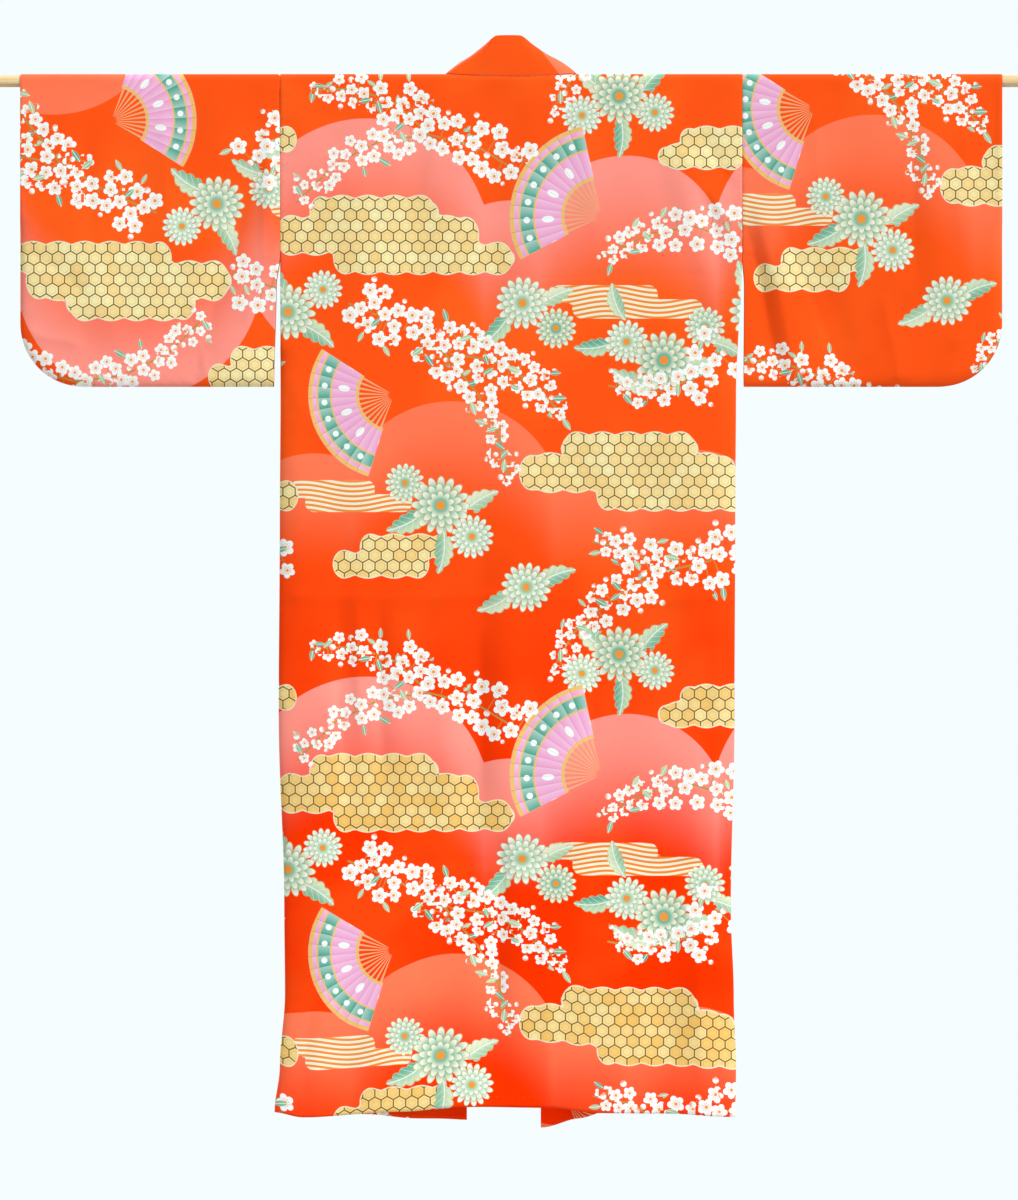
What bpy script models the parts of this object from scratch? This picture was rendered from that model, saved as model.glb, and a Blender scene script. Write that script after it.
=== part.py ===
"""A kimono hung flat on a thin rod, with its back turned to -Y.

The rod runs along X through the origin. +X is the wearer's right, +Y is the
side of the two fronts, and +Z is up. Each piece that a maker would cut is one
wall of cloth. A place on the cloth is given by x and by its drop, which is how
far it lies below the top of the fold over the rod. All sizes are in metres.
"""

import math

import bmesh
import bpy
from mathutils import Vector

# The wearer's two sides along X, and the two layers along Y
LEFT, RIGHT = -1, 1
BACK, FRONT = -1, 1

# Driving sizes
HALF_SPAN = 0.660
HALF_BODY = 0.3105
BODY_DROP = 1.402
SLEEVE_DROP = 0.420
ARMHOLE_DROP = 0.243
CUFF_DROP = 0.225
SIDE_SEAM_DROP = 0.385
OVERLAP_DROP = 0.270
COLLAR_END_DROP = 0.820
SLEEVE_CORNER = 0.085
NECK_HALF = 0.0870
COLLAR_WIDTH = 0.055
OVERLAP_TIP = 0.004
OVERLAP_HEM = {LEFT: 0.108, RIGHT: 0.106}

# The rod and the walls
ROD_RADIUS = 0.008
ROD_LENGTH = 1.50
ROD_SIDES = 24
ROD_BEVEL = 0.0008
ROD_CLEARANCE = 0.0005
CLOTH_WALL = 0.0012
COLLAR_WALL = 0.0020
FOLD_RADIUS = ROD_RADIUS + ROD_CLEARANCE + CLOTH_WALL / 2

# Seams: pieces lie this far apart, and a sewn edge is rounded over this width
SEAM_GAP = 0.0003
COLLAR_GAP = 0.0009
NECK_EASE = 0.140
SIDE_ROUND = 0.028
SLEEVE_ROUND = 0.018
OPENING_EASE = 0.030
CUFF_EASE = 0.060
SLEEVE_FOLD_EASE = 0.025
SLEEVE_SPREAD = 0.0055
NECK_DIP = math.radians(50)
COLLAR_BULGE = 0.0025
COLLAR_LIFT = 0.0009
COLLAR_LEAN = -0.006

# How far the layers swing away from the rod's plane at the hem
BACK_SWING = 0.006
FRONT_SWING = 0.018
SWING_START = 0.243
SLEEVE_PINCH = 0.0025

# How finely the walls are divided
FOLD_STEPS = 4
EDGE_STEPS = 3
COLLAR_STEPS = 3
BACK_STEPS = 6
FRONT_STEPS = 7
SLEEVE_STEPS = 8
ROW_SPACING = 0.066
SLEEVE_ROW_SPACING = 0.050
MERGE = 0.00001

# The body's side lines: distance from the centre at each drop
SIDE_LINE = (
    # drop, left, right
    (0.000, 0.3105, 0.3105),
    (0.243, 0.3105, 0.3105),
    (0.430, 0.3100, 0.3020),
    (0.600, 0.3110, 0.3010),
    (0.860, 0.3125, 0.3000),
    (1.120, 0.3050, 0.2950),
    (1.240, 0.3040, 0.2990),
    (1.340, 0.3110, 0.3020),
    (1.402, 0.3180, 0.3010),
)

# The free front edges: distance from the centre at each drop
EDGE_LINE = (
    # drop, left, right
    (0.000, 0.0400, 0.0380),
    (0.140, 0.0410, 0.0400),
    (0.500, 0.0490, 0.0400),
    (0.900, 0.0560, 0.0390),
    (1.402, 0.0600, 0.0400),
)

# The hem's drop across each layer, from the wearer's left side to the right
BACK_HEM = (
    # x, drop
    (-0.318, 1.396),
    (-0.280, 1.402),
    (-0.150, 1.394),
    (-0.060, 1.387),
    (0.060, 1.387),
    (0.180, 1.391),
    (0.301, 1.401),
)
FRONT_HEM = (
    # x, drop
    (-0.318, 1.396),
    (-0.214, 1.401),
    (-0.060, 1.407),
    (0.040, 1.414),
    (0.090, 1.400),
    (0.150, 1.386),
    (0.220, 1.388),
    (0.301, 1.401),
)
HEM_REACH = 0.50

# Soft folds of the back: height is towards the viewer, minus is a trough
BACK_FOLDS = (
    # x_top, x_low, drop_top, drop_low, half_width, height
    (-0.210, -0.200, 0.020, 0.420, 0.026, 0.0022),
    (-0.130, -0.120, 0.010, 0.360, 0.024, -0.0022),
    (-0.020, -0.030, 0.020, 0.400, 0.028, -0.0024),
    (0.240, 0.308, 0.080, 0.330, 0.014, -0.0030),
    (0.205, 0.290, 0.060, 0.360, 0.020, 0.0026),
    (-0.041, -0.050, 0.560, 1.130, 0.020, -0.0052),
    (-0.090, -0.085, 0.620, 1.200, 0.022, 0.0032),
    (0.005, -0.005, 0.600, 1.160, 0.020, 0.0036),
    (-0.226, -0.215, 0.600, 1.060, 0.016, -0.0034),
    (-0.180, -0.165, 0.620, 1.100, 0.018, -0.0030),
    (0.262, 0.268, 0.560, 1.220, 0.014, -0.0026),
    (-0.012, -0.030, 0.980, 1.500, 0.024, -0.0048),
    (-0.150, -0.190, 0.980, 1.520, 0.040, 0.0044),
    (0.110, 0.120, 0.900, 1.520, 0.050, 0.0034),
    (0.205, 0.215, 1.000, 1.520, 0.030, -0.0036),
)

# Hanging folds of the fronts. They grow from their start down to the hem, and
# x is counted from the centre towards the side.
FRONT_FOLDS = {
    LEFT: (
        # x_top, x_low, start, half_width, height
        (0.076, 0.088, 0.520, 0.024, 0.0110),
        (0.118, 0.140, 0.400, 0.024, -0.0120),
        (0.172, 0.195, 0.420, 0.026, 0.0130),
        (0.225, 0.250, 0.520, 0.024, -0.0090),
    ),
    RIGHT: (
        (0.062, 0.068, 0.500, 0.022, -0.0080),
        (0.104, 0.118, 0.400, 0.024, 0.0120),
        (0.158, 0.176, 0.420, 0.026, -0.0120),
        (0.212, 0.232, 0.480, 0.026, 0.0110),
    ),
}

# Sleeve folds, the same on both layers, out from the rod's plane
SLEEVE_FOLDS = {
    LEFT: (
        # x_top, x_low, drop_top, drop_low, half_width, height
        (0.322, 0.335, 0.040, 0.300, 0.010, 0.0028),
        (0.350, 0.430, 0.120, 0.440, 0.024, -0.0026),
        (0.600, 0.500, 0.180, 0.430, 0.026, 0.0024),
        (0.510, 0.500, 0.020, 0.300, 0.030, -0.0022),
    ),
    RIGHT: (
        (0.318, 0.372, 0.170, 0.460, 0.012, -0.0034),
        (0.338, 0.408, 0.150, 0.450, 0.018, 0.0030),
        (0.370, 0.470, 0.140, 0.440, 0.022, -0.0026),
        (0.560, 0.575, 0.020, 0.330, 0.026, 0.0024),
    ),
}

# The collar's free edge beside the neck, from the centre back to one side.
# Its seamed edge lies on the back's neckline here, at a share of NECK_HALF.
COLLAR_BACK = (
    # seam_share, edge_x, edge_y, edge_z
    (0.36, 0.0170, -0.0030, 0.0575),
    (0.66, 0.0305, 0.0005, 0.0480),
    (0.90, 0.0450, 0.0050, 0.0375),
)
COLLAR_BACK_CENTRE = (0.0, 0.0, -0.0040, 0.0577)
# Here the seamed edge lies on the front's neck edge, at a drop.
COLLAR_SIDE = (
    # seam_drop, edge_x, edge_y, edge_z
    (0.0000, 0.0510, 0.0076, 0.0335),
    (0.0013, 0.0560, 0.0105, 0.0300),
    (0.0046, 0.0600, 0.0140, 0.0250),
    (0.0091, 0.0612, 0.0172, 0.0180),
    (0.0300, 0.0590, 0.0205, 0.0030),
    (0.0550, 0.0530, 0.0210, -0.0230),
    (0.0900, 0.0460, 0.0185, -0.0650),
    (0.1400, 0.0420, 0.0140, -0.1230),
)

CLOTH_RED = (0.90, 0.06, 0.012, 1.0)
CLOTH_CORAL = (0.90, 0.14, 0.07, 1.0)
ROD_WOOD = (0.80, 0.62, 0.38, 1.0)
CLOTH_ROUGHNESS = 0.6
ROD_ROUGHNESS = 0.5
ROD_SHARP = math.radians(40)


def clear_scene():
    for item in list(bpy.data.objects):
        bpy.data.objects.remove(item, do_unlink=True)


def smooth(value):
    """Rise gently from 0 to 1 as value goes from 0 to 1."""
    value = min(1.0, max(0.0, value))
    return value * value * (3.0 - 2.0 * value)


def rounded(value):
    """A quarter round: 0 at the edge, 1 once value reaches 1."""
    if value >= 1.0:
        return 1.0
    return math.sqrt(max(0.0, 1.0 - (1.0 - value) ** 2))


def read_table(table, at, column):
    """Read a column of a table between its rows, along a soft curve."""
    if at <= table[0][0]:
        return table[0][column]
    for low, high in zip(table, table[1:]):
        if at <= high[0]:
            share = smooth((at - low[0]) / (high[0] - low[0]))
            return low[column] + (high[column] - low[column]) * share
    return table[-1][column]


def side_column(side):
    return 1 if side == LEFT else 2


def body_half(side, drop):
    return read_table(SIDE_LINE, drop, side_column(side))


def edge_half(side, drop):
    return read_table(EDGE_LINE, drop, side_column(side))


def collar_seam_half(side, drop):
    """Where the collar is sewn to the front, as a distance from the centre."""
    hanging = edge_half(side, drop) + COLLAR_WIDTH
    share = smooth(drop / NECK_EASE)
    return NECK_HALF + (hanging - NECK_HALF) * share


def overlap_seam_half(side, drop):
    """Where the overlap is sewn to the front, as a distance from the centre."""
    tip = collar_seam_half(side, drop) + OVERLAP_TIP
    if drop <= OVERLAP_DROP:
        return tip
    share = (drop - OVERLAP_DROP) / (BODY_DROP - OVERLAP_DROP)
    hem = edge_half(side, BODY_DROP) + OVERLAP_HEM[side]
    top = collar_seam_half(side, OVERLAP_DROP) + OVERLAP_TIP
    return max(tip, top + (hem - top) * share)


def levels(stops, spacing):
    """Drops from stop to stop, in even steps near the spacing."""
    result = [stops[0]]
    for low, high in zip(stops, stops[1:]):
        steps = max(1, round((high - low) / spacing))
        result += [low + (high - low) * k / steps for k in range(1, steps + 1)]
    return result


def fold_drops(first_angle=0.0):
    """Drops of the rows that go over the rod, from a first angle to its side."""
    angles = [first_angle + (math.pi / 2 - first_angle) * k / FOLD_STEPS for k in range(FOLD_STEPS)]
    return [FOLD_RADIUS * (1 - math.cos(angle)) for angle in angles]


def fold_height(folds, x, drop):
    """Sum of the folds that rise and die away again between their two ends."""
    total = 0.0
    for x_top, x_low, drop_top, drop_low, half_width, height in folds:
        if not drop_top < drop < drop_low:
            continue
        share = (drop - drop_top) / (drop_low - drop_top)
        centre = x_top + (x_low - x_top) * share
        total += height * math.sin(math.pi * share) * math.exp(-(((x - centre) / half_width) ** 2))
    return total


def hanging_height(side, x, drop):
    """Sum of the front's folds, which grow down to the hem."""
    total = 0.0
    for x_top, x_low, start, half_width, height in FRONT_FOLDS[side]:
        if drop <= start:
            continue
        share = (drop - start) / (BODY_DROP - start)
        centre = x_top + (x_low - x_top) * share
        total += height * smooth(share) * math.exp(-(((abs(x) - centre) / half_width) ** 2))
    return total


def body_closing(side, x, drop):
    """1 on the open cloth, falling to 0 at a sewn side seam."""
    inside = body_half(side, drop) - abs(x)
    sewn = smooth((drop - SIDE_SEAM_DROP + OPENING_EASE) / OPENING_EASE)
    return 1.0 - sewn * (1.0 - rounded(inside / SIDE_ROUND))


def body_y(layer, x, drop):
    """How far the body's cloth lies from the rod's plane."""
    side = LEFT if x < 0 else RIGHT
    swing = smooth((drop - SWING_START) / (BODY_DROP - SWING_START))
    inside = body_half(side, drop) - abs(x)
    if layer == BACK:
        depth = BACK_SWING * swing + fold_height(BACK_FOLDS, x, drop)
    else:
        depth = FRONT_SWING * swing + hanging_height(side, x, drop)
    depth = depth * smooth(inside / (2 * SIDE_ROUND)) * smooth(drop / (2 * FOLD_RADIUS))
    depth += FOLD_RADIUS * rounded(drop / FOLD_RADIUS)
    return layer * (SEAM_GAP / 2 + depth * body_closing(side, x, drop))


def body_point(layer, x, drop):
    """A point of the body's cloth. The lowest rows follow the hem's own line."""
    hem = read_table(BACK_HEM if layer == BACK else FRONT_HEM, x, 1)
    reach = smooth((drop - BODY_DROP + HEM_REACH) / HEM_REACH)
    lowered = drop + (hem - BODY_DROP) * reach
    return Vector((x, body_y(layer, x, drop), FOLD_RADIUS - lowered))


def sleeve_point(side, layer, share, drop):
    """A point of a sleeve, at a share of the way from its seam to its cuff."""
    corner_top = SLEEVE_DROP - SLEEVE_CORNER
    outer = HALF_SPAN
    if drop > corner_top:
        rise = (drop - corner_top) / SLEEVE_CORNER
        outer -= SLEEVE_CORNER * (1 - math.sqrt(max(0.0, 1 - rise * rise)))
    swung = smooth((drop - ARMHOLE_DROP) / (SLEEVE_DROP - ARMHOLE_DROP))
    inner = HALF_BODY + SEAM_GAP + SLEEVE_SPREAD * swung
    x = inner + (outer - inner) * share
    across = HALF_SPAN - SLEEVE_CORNER - x
    if drop > corner_top and across < 0:
        inside = SLEEVE_CORNER - math.hypot(across, drop - corner_top)
    else:
        inside = min(HALF_SPAN - x, SLEEVE_DROP - drop)
    edge = rounded(inside / SLEEVE_ROUND)
    opened = smooth((CUFF_DROP - drop) / CUFF_EASE)
    if SLEEVE_DROP - drop > SLEEVE_CORNER:
        edge += (1.0 - edge) * opened
    depth = FOLD_RADIUS * rounded(drop / FOLD_RADIUS) - SLEEVE_PINCH * swung
    fade = smooth((x - inner) / SLEEVE_FOLD_EASE) if drop < ARMHOLE_DROP else 1.0
    fade *= smooth(inside / SLEEVE_FOLD_EASE)
    depth += fold_height(SLEEVE_FOLDS[side], x, drop) * fade
    return Vector((side * x, layer * depth * edge, FOLD_RADIUS - drop))


def round_steps(width):
    """Distances from a sewn edge that follow its quarter round."""
    return [width * (1 - math.cos(math.pi / 2 * k / EDGE_STEPS)) for k in range(EDGE_STEPS + 1)]


def side_columns(side, drop, inner, steps):
    """x places from an inner line out to the side seam, finer at the seam."""
    outer = body_half(side, drop)
    edge = [outer - step for step in round_steps(SIDE_ROUND)]
    start = edge[-1]
    middle = [inner + (start - inner) * k / steps for k in range(steps)]
    return [side * x for x in middle + edge[::-1]]


def neck_angle(x):
    """How far round the rod the back's neckline lies from the top."""
    share = abs(x) / NECK_HALF
    if share >= 1.0:
        return 0.0
    return NECK_DIP * math.sqrt(1.0 - share * share)


def material(name, colour, roughness):
    made = bpy.data.materials.new(name)
    made.use_nodes = True
    shader = made.node_tree.nodes["Principled BSDF"]
    shader.inputs["Base Color"].default_value = colour
    shader.inputs["Roughness"].default_value = roughness
    shader.inputs["Metallic"].default_value = 0.0
    return made


def add_mesh_object(name, bm, colour, roughness):
    """Make an object from a bmesh, shaded smooth."""
    mesh = bpy.data.meshes.new(name)
    bm.to_mesh(mesh)
    bm.free()
    mesh.shade_smooth()
    made = bpy.data.objects.new(name, mesh)
    made.data.materials.append(material(name, colour, roughness))
    bpy.context.scene.collection.objects.link(made)
    return made


def thicken(bm, wall, square):
    """Turn a sheet into a closed wall, half to each side of it.

    Where square is set, the wall stands square to the rod's plane along that
    plane, so that the layer mirrored beyond it meets it face to face.
    """
    bm.normal_update()
    outer, inner = {}, {}
    for vert in list(bm.verts):
        normal = vert.normal.copy()
        if square and abs(vert.co.y) < SEAM_GAP:
            normal.y = 0.0
            normal.normalize()
        spread = sum(normal.dot(face.normal) for face in vert.link_faces) / len(vert.link_faces)
        move = normal * (wall / 2 / spread)
        outer[vert] = bm.verts.new(vert.co + move)
        inner[vert] = bm.verts.new(vert.co - move)
    sheet = list(bm.faces)
    rims = [edge.link_loops[0] for edge in bm.edges if edge.is_boundary]
    for face in sheet:
        corners = list(face.verts)
        bm.faces.new([outer[vert] for vert in corners])
        bm.faces.new([inner[vert] for vert in reversed(corners)])
    for loop in rims:
        start, end = loop.vert, loop.link_loop_next.vert
        bm.faces.new([outer[end], outer[start], inner[start], inner[end]])
    bmesh.ops.delete(bm, geom=list(outer), context="VERTS")


def add_cloth(name, rows, colour, wall=CLOTH_WALL, square=False):
    """Build a wall of cloth through rows of points. None is where none is cut."""
    bm = bmesh.new()
    grid = [[None if point is None else bm.verts.new(point) for point in row] for row in rows]
    for upper, lower in zip(grid, grid[1:]):
        for k in range(len(upper) - 1):
            corners = (upper[k], lower[k], lower[k + 1], upper[k + 1])
            if None not in corners:
                bm.faces.new(corners)
    loose = [vert for vert in bm.verts if not vert.link_faces]
    bmesh.ops.delete(bm, geom=loose, context="VERTS")
    bmesh.ops.remove_doubles(bm, verts=bm.verts, dist=MERGE)
    thicken(bm, wall, square)
    return add_mesh_object(name, bm, colour, CLOTH_ROUGHNESS)


def body_levels():
    """Drops of the rows below the rod, with one at each place where a seam starts or ends."""
    stops = (FOLD_RADIUS, ARMHOLE_DROP, OVERLAP_DROP, SIDE_SEAM_DROP - OPENING_EASE,
             SIDE_SEAM_DROP, COLLAR_END_DROP, BODY_DROP)
    return levels(stops, ROW_SPACING)


def build_back():
    """The back: one wide panel, with the neckline cut at its top."""
    half = [NECK_HALF * row[0] for row in COLLAR_BACK]
    neck = [-x for x in reversed(half)] + [0.0] + half

    def columns(drop):
        left = side_columns(LEFT, drop, NECK_HALF, BACK_STEPS)[::-1]
        return left + neck + side_columns(RIGHT, drop, NECK_HALF, BACK_STEPS)

    rows = []
    for k in range(FOLD_STEPS):
        rows.append([body_point(BACK, x, fold_drops(neck_angle(x))[k]) for x in columns(0.0)])
    for drop in body_levels():
        rows.append([body_point(BACK, x, drop) for x in columns(drop)])
    return add_cloth("back", rows, CLOTH_RED, square=True)


def build_front(side, name):
    """A front panel, from the collar and the overlap out to the side seam."""
    rows = []
    for drop in fold_drops() + body_levels():
        strip = collar_seam_half(side, drop)
        inner = overlap_seam_half(side, drop)
        if drop > OVERLAP_DROP:
            first = None
        else:
            first = body_point(FRONT, side * strip, drop)
        places = side_columns(side, drop, inner, FRONT_STEPS)
        rows.append([first] + [body_point(FRONT, x, drop) for x in places])
    if side == RIGHT:
        rows = [row[::-1] for row in rows]
    return add_cloth(name, rows, CLOTH_RED, square=True)


def build_overlap(side, name):
    """An overlap: narrow at its tip, and out to the free edge below the collar."""
    halves = (1, 2)
    rows = []
    for drop in [level for level in body_levels() if level >= OVERLAP_DROP]:
        level = drop
        if drop in (OVERLAP_DROP, COLLAR_END_DROP):
            level = drop + SEAM_GAP
        seam = overlap_seam_half(side, level) - SEAM_GAP
        collar = collar_seam_half(side, level)
        edge = edge_half(side, level)
        places = [seam] + [seam + (collar - seam) * k / 2 for k in halves]
        row = [body_point(FRONT, side * x, level) for x in places]
        if drop < COLLAR_END_DROP:
            row += [None for k in halves]
        else:
            places = [collar + (edge - collar) * k / 2 for k in halves]
            row += [body_point(FRONT, side * x, level) for x in places]
        rows.append(row)
    if side == LEFT:
        rows = [row[::-1] for row in rows]
    return add_cloth(name, rows, CLOTH_CORAL)


def collar_section(seam, edge):
    """Points across the collar band, from its seam to its free edge.

    The band bulges a little, away from the rod.
    """
    across = edge - seam
    out = Vector((0.0, seam.y, max(0.0, seam.z)))
    out -= across * (out.dot(across) / across.dot(across))
    out.normalize()
    shares = [k / COLLAR_STEPS for k in range(COLLAR_STEPS + 1)]
    return [seam + across * share + out * COLLAR_BULGE * math.sin(math.pi * share) for share in shares]


def lifted(point):
    """Move a point of a front out by the collar's lift, round the rod or square to the cloth."""
    radius = math.hypot(point.y, point.z)
    if point.z > 0:
        return point + Vector((0.0, point.y, point.z)) * (COLLAR_LIFT / radius)
    return point + Vector((0.0, COLLAR_LIFT, 0.0))


def collar_front_sections(side):
    """Sections of one side of the collar, from its lower end up to the shoulder."""
    sections = []
    lowest_side_drop = COLLAR_SIDE[-1][0]
    hanging = [drop for drop in body_levels() if lowest_side_drop < drop <= COLLAR_END_DROP]
    for drop in reversed(hanging):
        seam = body_point(FRONT, side * (collar_seam_half(side, drop) - SEAM_GAP), drop)
        edge = body_point(FRONT, side * edge_half(side, drop), drop)
        sections.append(collar_section(lifted(seam), lifted(edge)))
    for drop, edge_x, edge_y, edge_z in reversed(COLLAR_SIDE):
        seam = body_point(FRONT, side * (collar_seam_half(side, drop) - COLLAR_GAP), drop)
        sections.append(collar_section(lifted(seam), Vector((side * edge_x, edge_y, edge_z))))
    return sections


def collar_neck_seam(x):
    """A point just above the back's neckline, where the collar is sewn on."""
    angle = neck_angle(x) - COLLAR_GAP / FOLD_RADIUS
    radius = FOLD_RADIUS + COLLAR_LIFT
    return Vector((x, -radius * math.sin(angle), radius * math.cos(angle)))


def collar_back_section(side, row):
    """One section beside the neck. The band's top leans a little to the left."""
    share, edge_x, edge_y, edge_z = row
    leaned = side * edge_x + COLLAR_LEAN * (1.0 - share)
    return collar_section(collar_neck_seam(side * share * NECK_HALF), Vector((leaned, edge_y, edge_z)))


def build_collar():
    """The collar: one band round the back of the neck and down both fronts."""
    rows = collar_front_sections(LEFT)
    rows += [collar_back_section(LEFT, row) for row in reversed(COLLAR_BACK)]
    rows.append(collar_back_section(RIGHT, COLLAR_BACK_CENTRE))
    rows += [collar_back_section(RIGHT, row) for row in COLLAR_BACK]
    rows += reversed(collar_front_sections(RIGHT))
    return add_cloth("collar", rows, CLOTH_RED, COLLAR_WALL)


def build_sleeve(side, name):
    """A sleeve: one piece over the rod, sewn along its bottom and under the cuff."""
    stops = (FOLD_RADIUS, CUFF_DROP - CUFF_EASE, CUFF_DROP, SLEEVE_DROP - SLEEVE_CORNER)
    drops = fold_drops() + levels(stops, SLEEVE_ROW_SPACING)
    corner_top = SLEEVE_DROP - SLEEVE_CORNER
    corner_drops = [math.sin(math.radians(angle)) for angle in (30, 60)]
    drops += [corner_top + (SLEEVE_CORNER - SLEEVE_ROUND) * share for share in corner_drops]
    drops += [SLEEVE_DROP - step for step in reversed(round_steps(SLEEVE_ROUND))]
    width = HALF_SPAN - HALF_BODY
    edge = [1 - step / width for step in round_steps(SLEEVE_ROUND)]
    shares = [edge[-1] * k / SLEEVE_STEPS for k in range(SLEEVE_STEPS)] + edge[::-1]
    down_back = [[sleeve_point(side, BACK, share, drop) for share in shares] for drop in drops]
    down_front = [[sleeve_point(side, FRONT, share, drop) for share in shares] for drop in drops]
    rows = down_front[::-1] + down_back[1:]
    if side == LEFT:
        rows = [row[::-1] for row in rows]
    return add_cloth(name, rows, CLOTH_RED)


def build_rod():
    """The round wooden rod along X, with its edges eased."""
    bm = bmesh.new()
    bmesh.ops.create_cone(bm, cap_ends=True, segments=ROD_SIDES, radius1=ROD_RADIUS,
                          radius2=ROD_RADIUS, depth=ROD_LENGTH)
    rims = [edge for edge in bm.edges if any(len(face.verts) > 4 for face in edge.link_faces)]
    bmesh.ops.bevel(bm, geom=rims, offset=ROD_BEVEL, segments=1, affect="EDGES")
    for vert in bm.verts:
        vert.co = Vector((vert.co.z, vert.co.y, -vert.co.x))
    made = add_mesh_object("rod", bm, ROD_WOOD, ROD_ROUGHNESS)
    made.data.set_sharp_from_angle(angle=ROD_SHARP)
    return made


def main():
    clear_scene()
    build_rod()
    build_back()
    build_front(LEFT, "front_left")
    build_front(RIGHT, "front_right")
    build_overlap(LEFT, "overlap_left")
    build_overlap(RIGHT, "overlap_right")
    build_collar()
    build_sleeve(LEFT, "sleeve_left")
    build_sleeve(RIGHT, "sleeve_right")


main()
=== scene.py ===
"""The looks of a kimono that hangs flat on a thin rod, its back turned to -Y.

The rod runs along X through the origin, the fronts face +Y, and +Z is up. A
place on the cloth is given by x and by its drop, which is how far it lies
below the top of the fold over the rod. All sizes are in metres.
"""

import math
import random

import bmesh
import bpy
import numpy as np
from bpy.props import FloatProperty, FloatVectorProperty, IntProperty, PointerProperty
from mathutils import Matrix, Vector


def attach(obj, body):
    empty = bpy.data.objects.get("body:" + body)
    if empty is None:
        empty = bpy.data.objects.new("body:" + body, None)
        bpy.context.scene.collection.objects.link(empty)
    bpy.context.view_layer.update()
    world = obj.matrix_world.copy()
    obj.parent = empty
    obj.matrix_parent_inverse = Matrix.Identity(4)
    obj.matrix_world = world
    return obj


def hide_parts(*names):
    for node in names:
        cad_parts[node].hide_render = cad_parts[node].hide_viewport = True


bl_info = {
    "name": "Kimono on a rod",
    "version": (1, 0, 0),
    "blender": (4, 5, 0),
    "location": "3D Viewport > Sidebar > Kimono",
    "description": "Builds the cloth, the print and the stage of a kimono that hangs on a rod",
    "category": "Add Mesh",
}

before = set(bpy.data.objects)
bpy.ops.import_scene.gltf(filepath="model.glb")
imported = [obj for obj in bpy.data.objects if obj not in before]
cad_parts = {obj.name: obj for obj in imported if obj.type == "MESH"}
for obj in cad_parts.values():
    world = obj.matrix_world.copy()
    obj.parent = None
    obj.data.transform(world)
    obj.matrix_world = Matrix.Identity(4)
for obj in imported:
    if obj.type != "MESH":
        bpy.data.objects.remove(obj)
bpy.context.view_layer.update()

# The wearer's two sides along X, and the two layers along Y
LEFT, RIGHT = -1, 1
BACK, FRONT = -1, 1
SIDE_NAMES = {LEFT: "left", RIGHT: "right"}

# Sizes that the solids have too
HALF_SPAN = 0.660
HALF_BODY = 0.3105
BODY_DROP = 1.402
SLEEVE_DROP = 0.420
ARMHOLE_DROP = 0.243
CUFF_DROP = 0.225
SIDE_SEAM_DROP = 0.385
OVERLAP_DROP = 0.270
COLLAR_END_DROP = 0.820
SLEEVE_CORNER = 0.085
NECK_HALF = 0.0870
COLLAR_WIDTH = 0.055
OVERLAP_TIP = 0.004
OVERLAP_HEM = {LEFT: 0.108, RIGHT: 0.106}
FOLD_RADIUS = 0.0091
SEAM_GAP = 0.0003
COLLAR_GAP = 0.0001
NECK_EASE = 0.140
SIDE_ROUND = 0.028
SLEEVE_ROUND = 0.018
OPENING_EASE = 0.030
CUFF_EASE = 0.060
SLEEVE_FOLD_EASE = 0.025
NECK_DIP = math.radians(50)
COLLAR_BULGE = 0.0025
COLLAR_LIFT = 0.0009
BACK_SWING = 0.006
FRONT_SWING = 0.018
SWING_START = 0.243
SLEEVE_PINCH = 0.0025
HEM_REACH = 0.50

# Drops of the two folds that were pressed in across the body
FIRST_PRESS = 0.704
SECOND_PRESS = 1.062

# Fine detail: how it starts below the rod, fades beside edges and is shaped
CREASE_START = 0.030
SEAM_START = 0.016
INNER_SEAM_START = 0.02
SLEEVE_CREASE_EASE = 0.014
HEM_WAVE_REACH = 0.020
CREASE_WANDER = 0.0016
CREASE_END = 0.22
CREASE_ROUNDING = 0.25
GROOVE_HALF = 0.0019
NECK_GROOVE = 0.0002
NECK_GROOVE_REACH = 0.002
SLEEVE_DETAIL = 0.8
# A sleeve's two layers stay this far from the middle, and come together at its edge
LEAST_DEPTH = 0.0006
LEAST_DEPTH_EASE = 0.004

# Mesh columns near a seam and near a sleeve's edge, and rows on the fold and the corner
SEAM_STEPS = (0.0, 0.0005, 0.0014, 0.0028, 0.0048, 0.0076, 0.0110, 0.0150)
EDGE_STEPS = (0.0, 0.0003, 0.0009, 0.0019, 0.0034, 0.0054, 0.0080, 0.0112, 0.0150)
FOLD_ROWS = 8
CORNER_ROWS = 30
# How many stations the collar has on a front, and where it starts to leave the front
COLLAR_STATIONS = 58
COLLAR_FREE_DROP = 0.155
# Widths that set how many columns a piece gets
FRONT_WIDTH = 0.205
OVERLAP_WIDTH = 0.075
# Shares of the mesh spacing and of the wall
SLEEVE_FINENESS = 0.86
COLLAR_WALL_SHARE = 0.9
# Corners of a sleeve that lie closer than this are joined
MERGE = 0.00001
# The least length that anything is divided by
SHORTEST = 1e-6
# The bake map: a face takes the left half, its reverse the right one
BAKE_AREA = (0.48, 0.98)
BAKE_EDGE = 0.01
BAKE_REVERSE = 0.5

# How far stitches lie from the edge or the seam beside them
HEM_STITCHES = 0.014
ARMHOLE_STITCHES = 0.004
CUFF_STITCHES = 0.007
COLLAR_STITCHES = 0.0028
STITCH_START = 0.030
STITCH_LIFT = 0.0001

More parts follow.
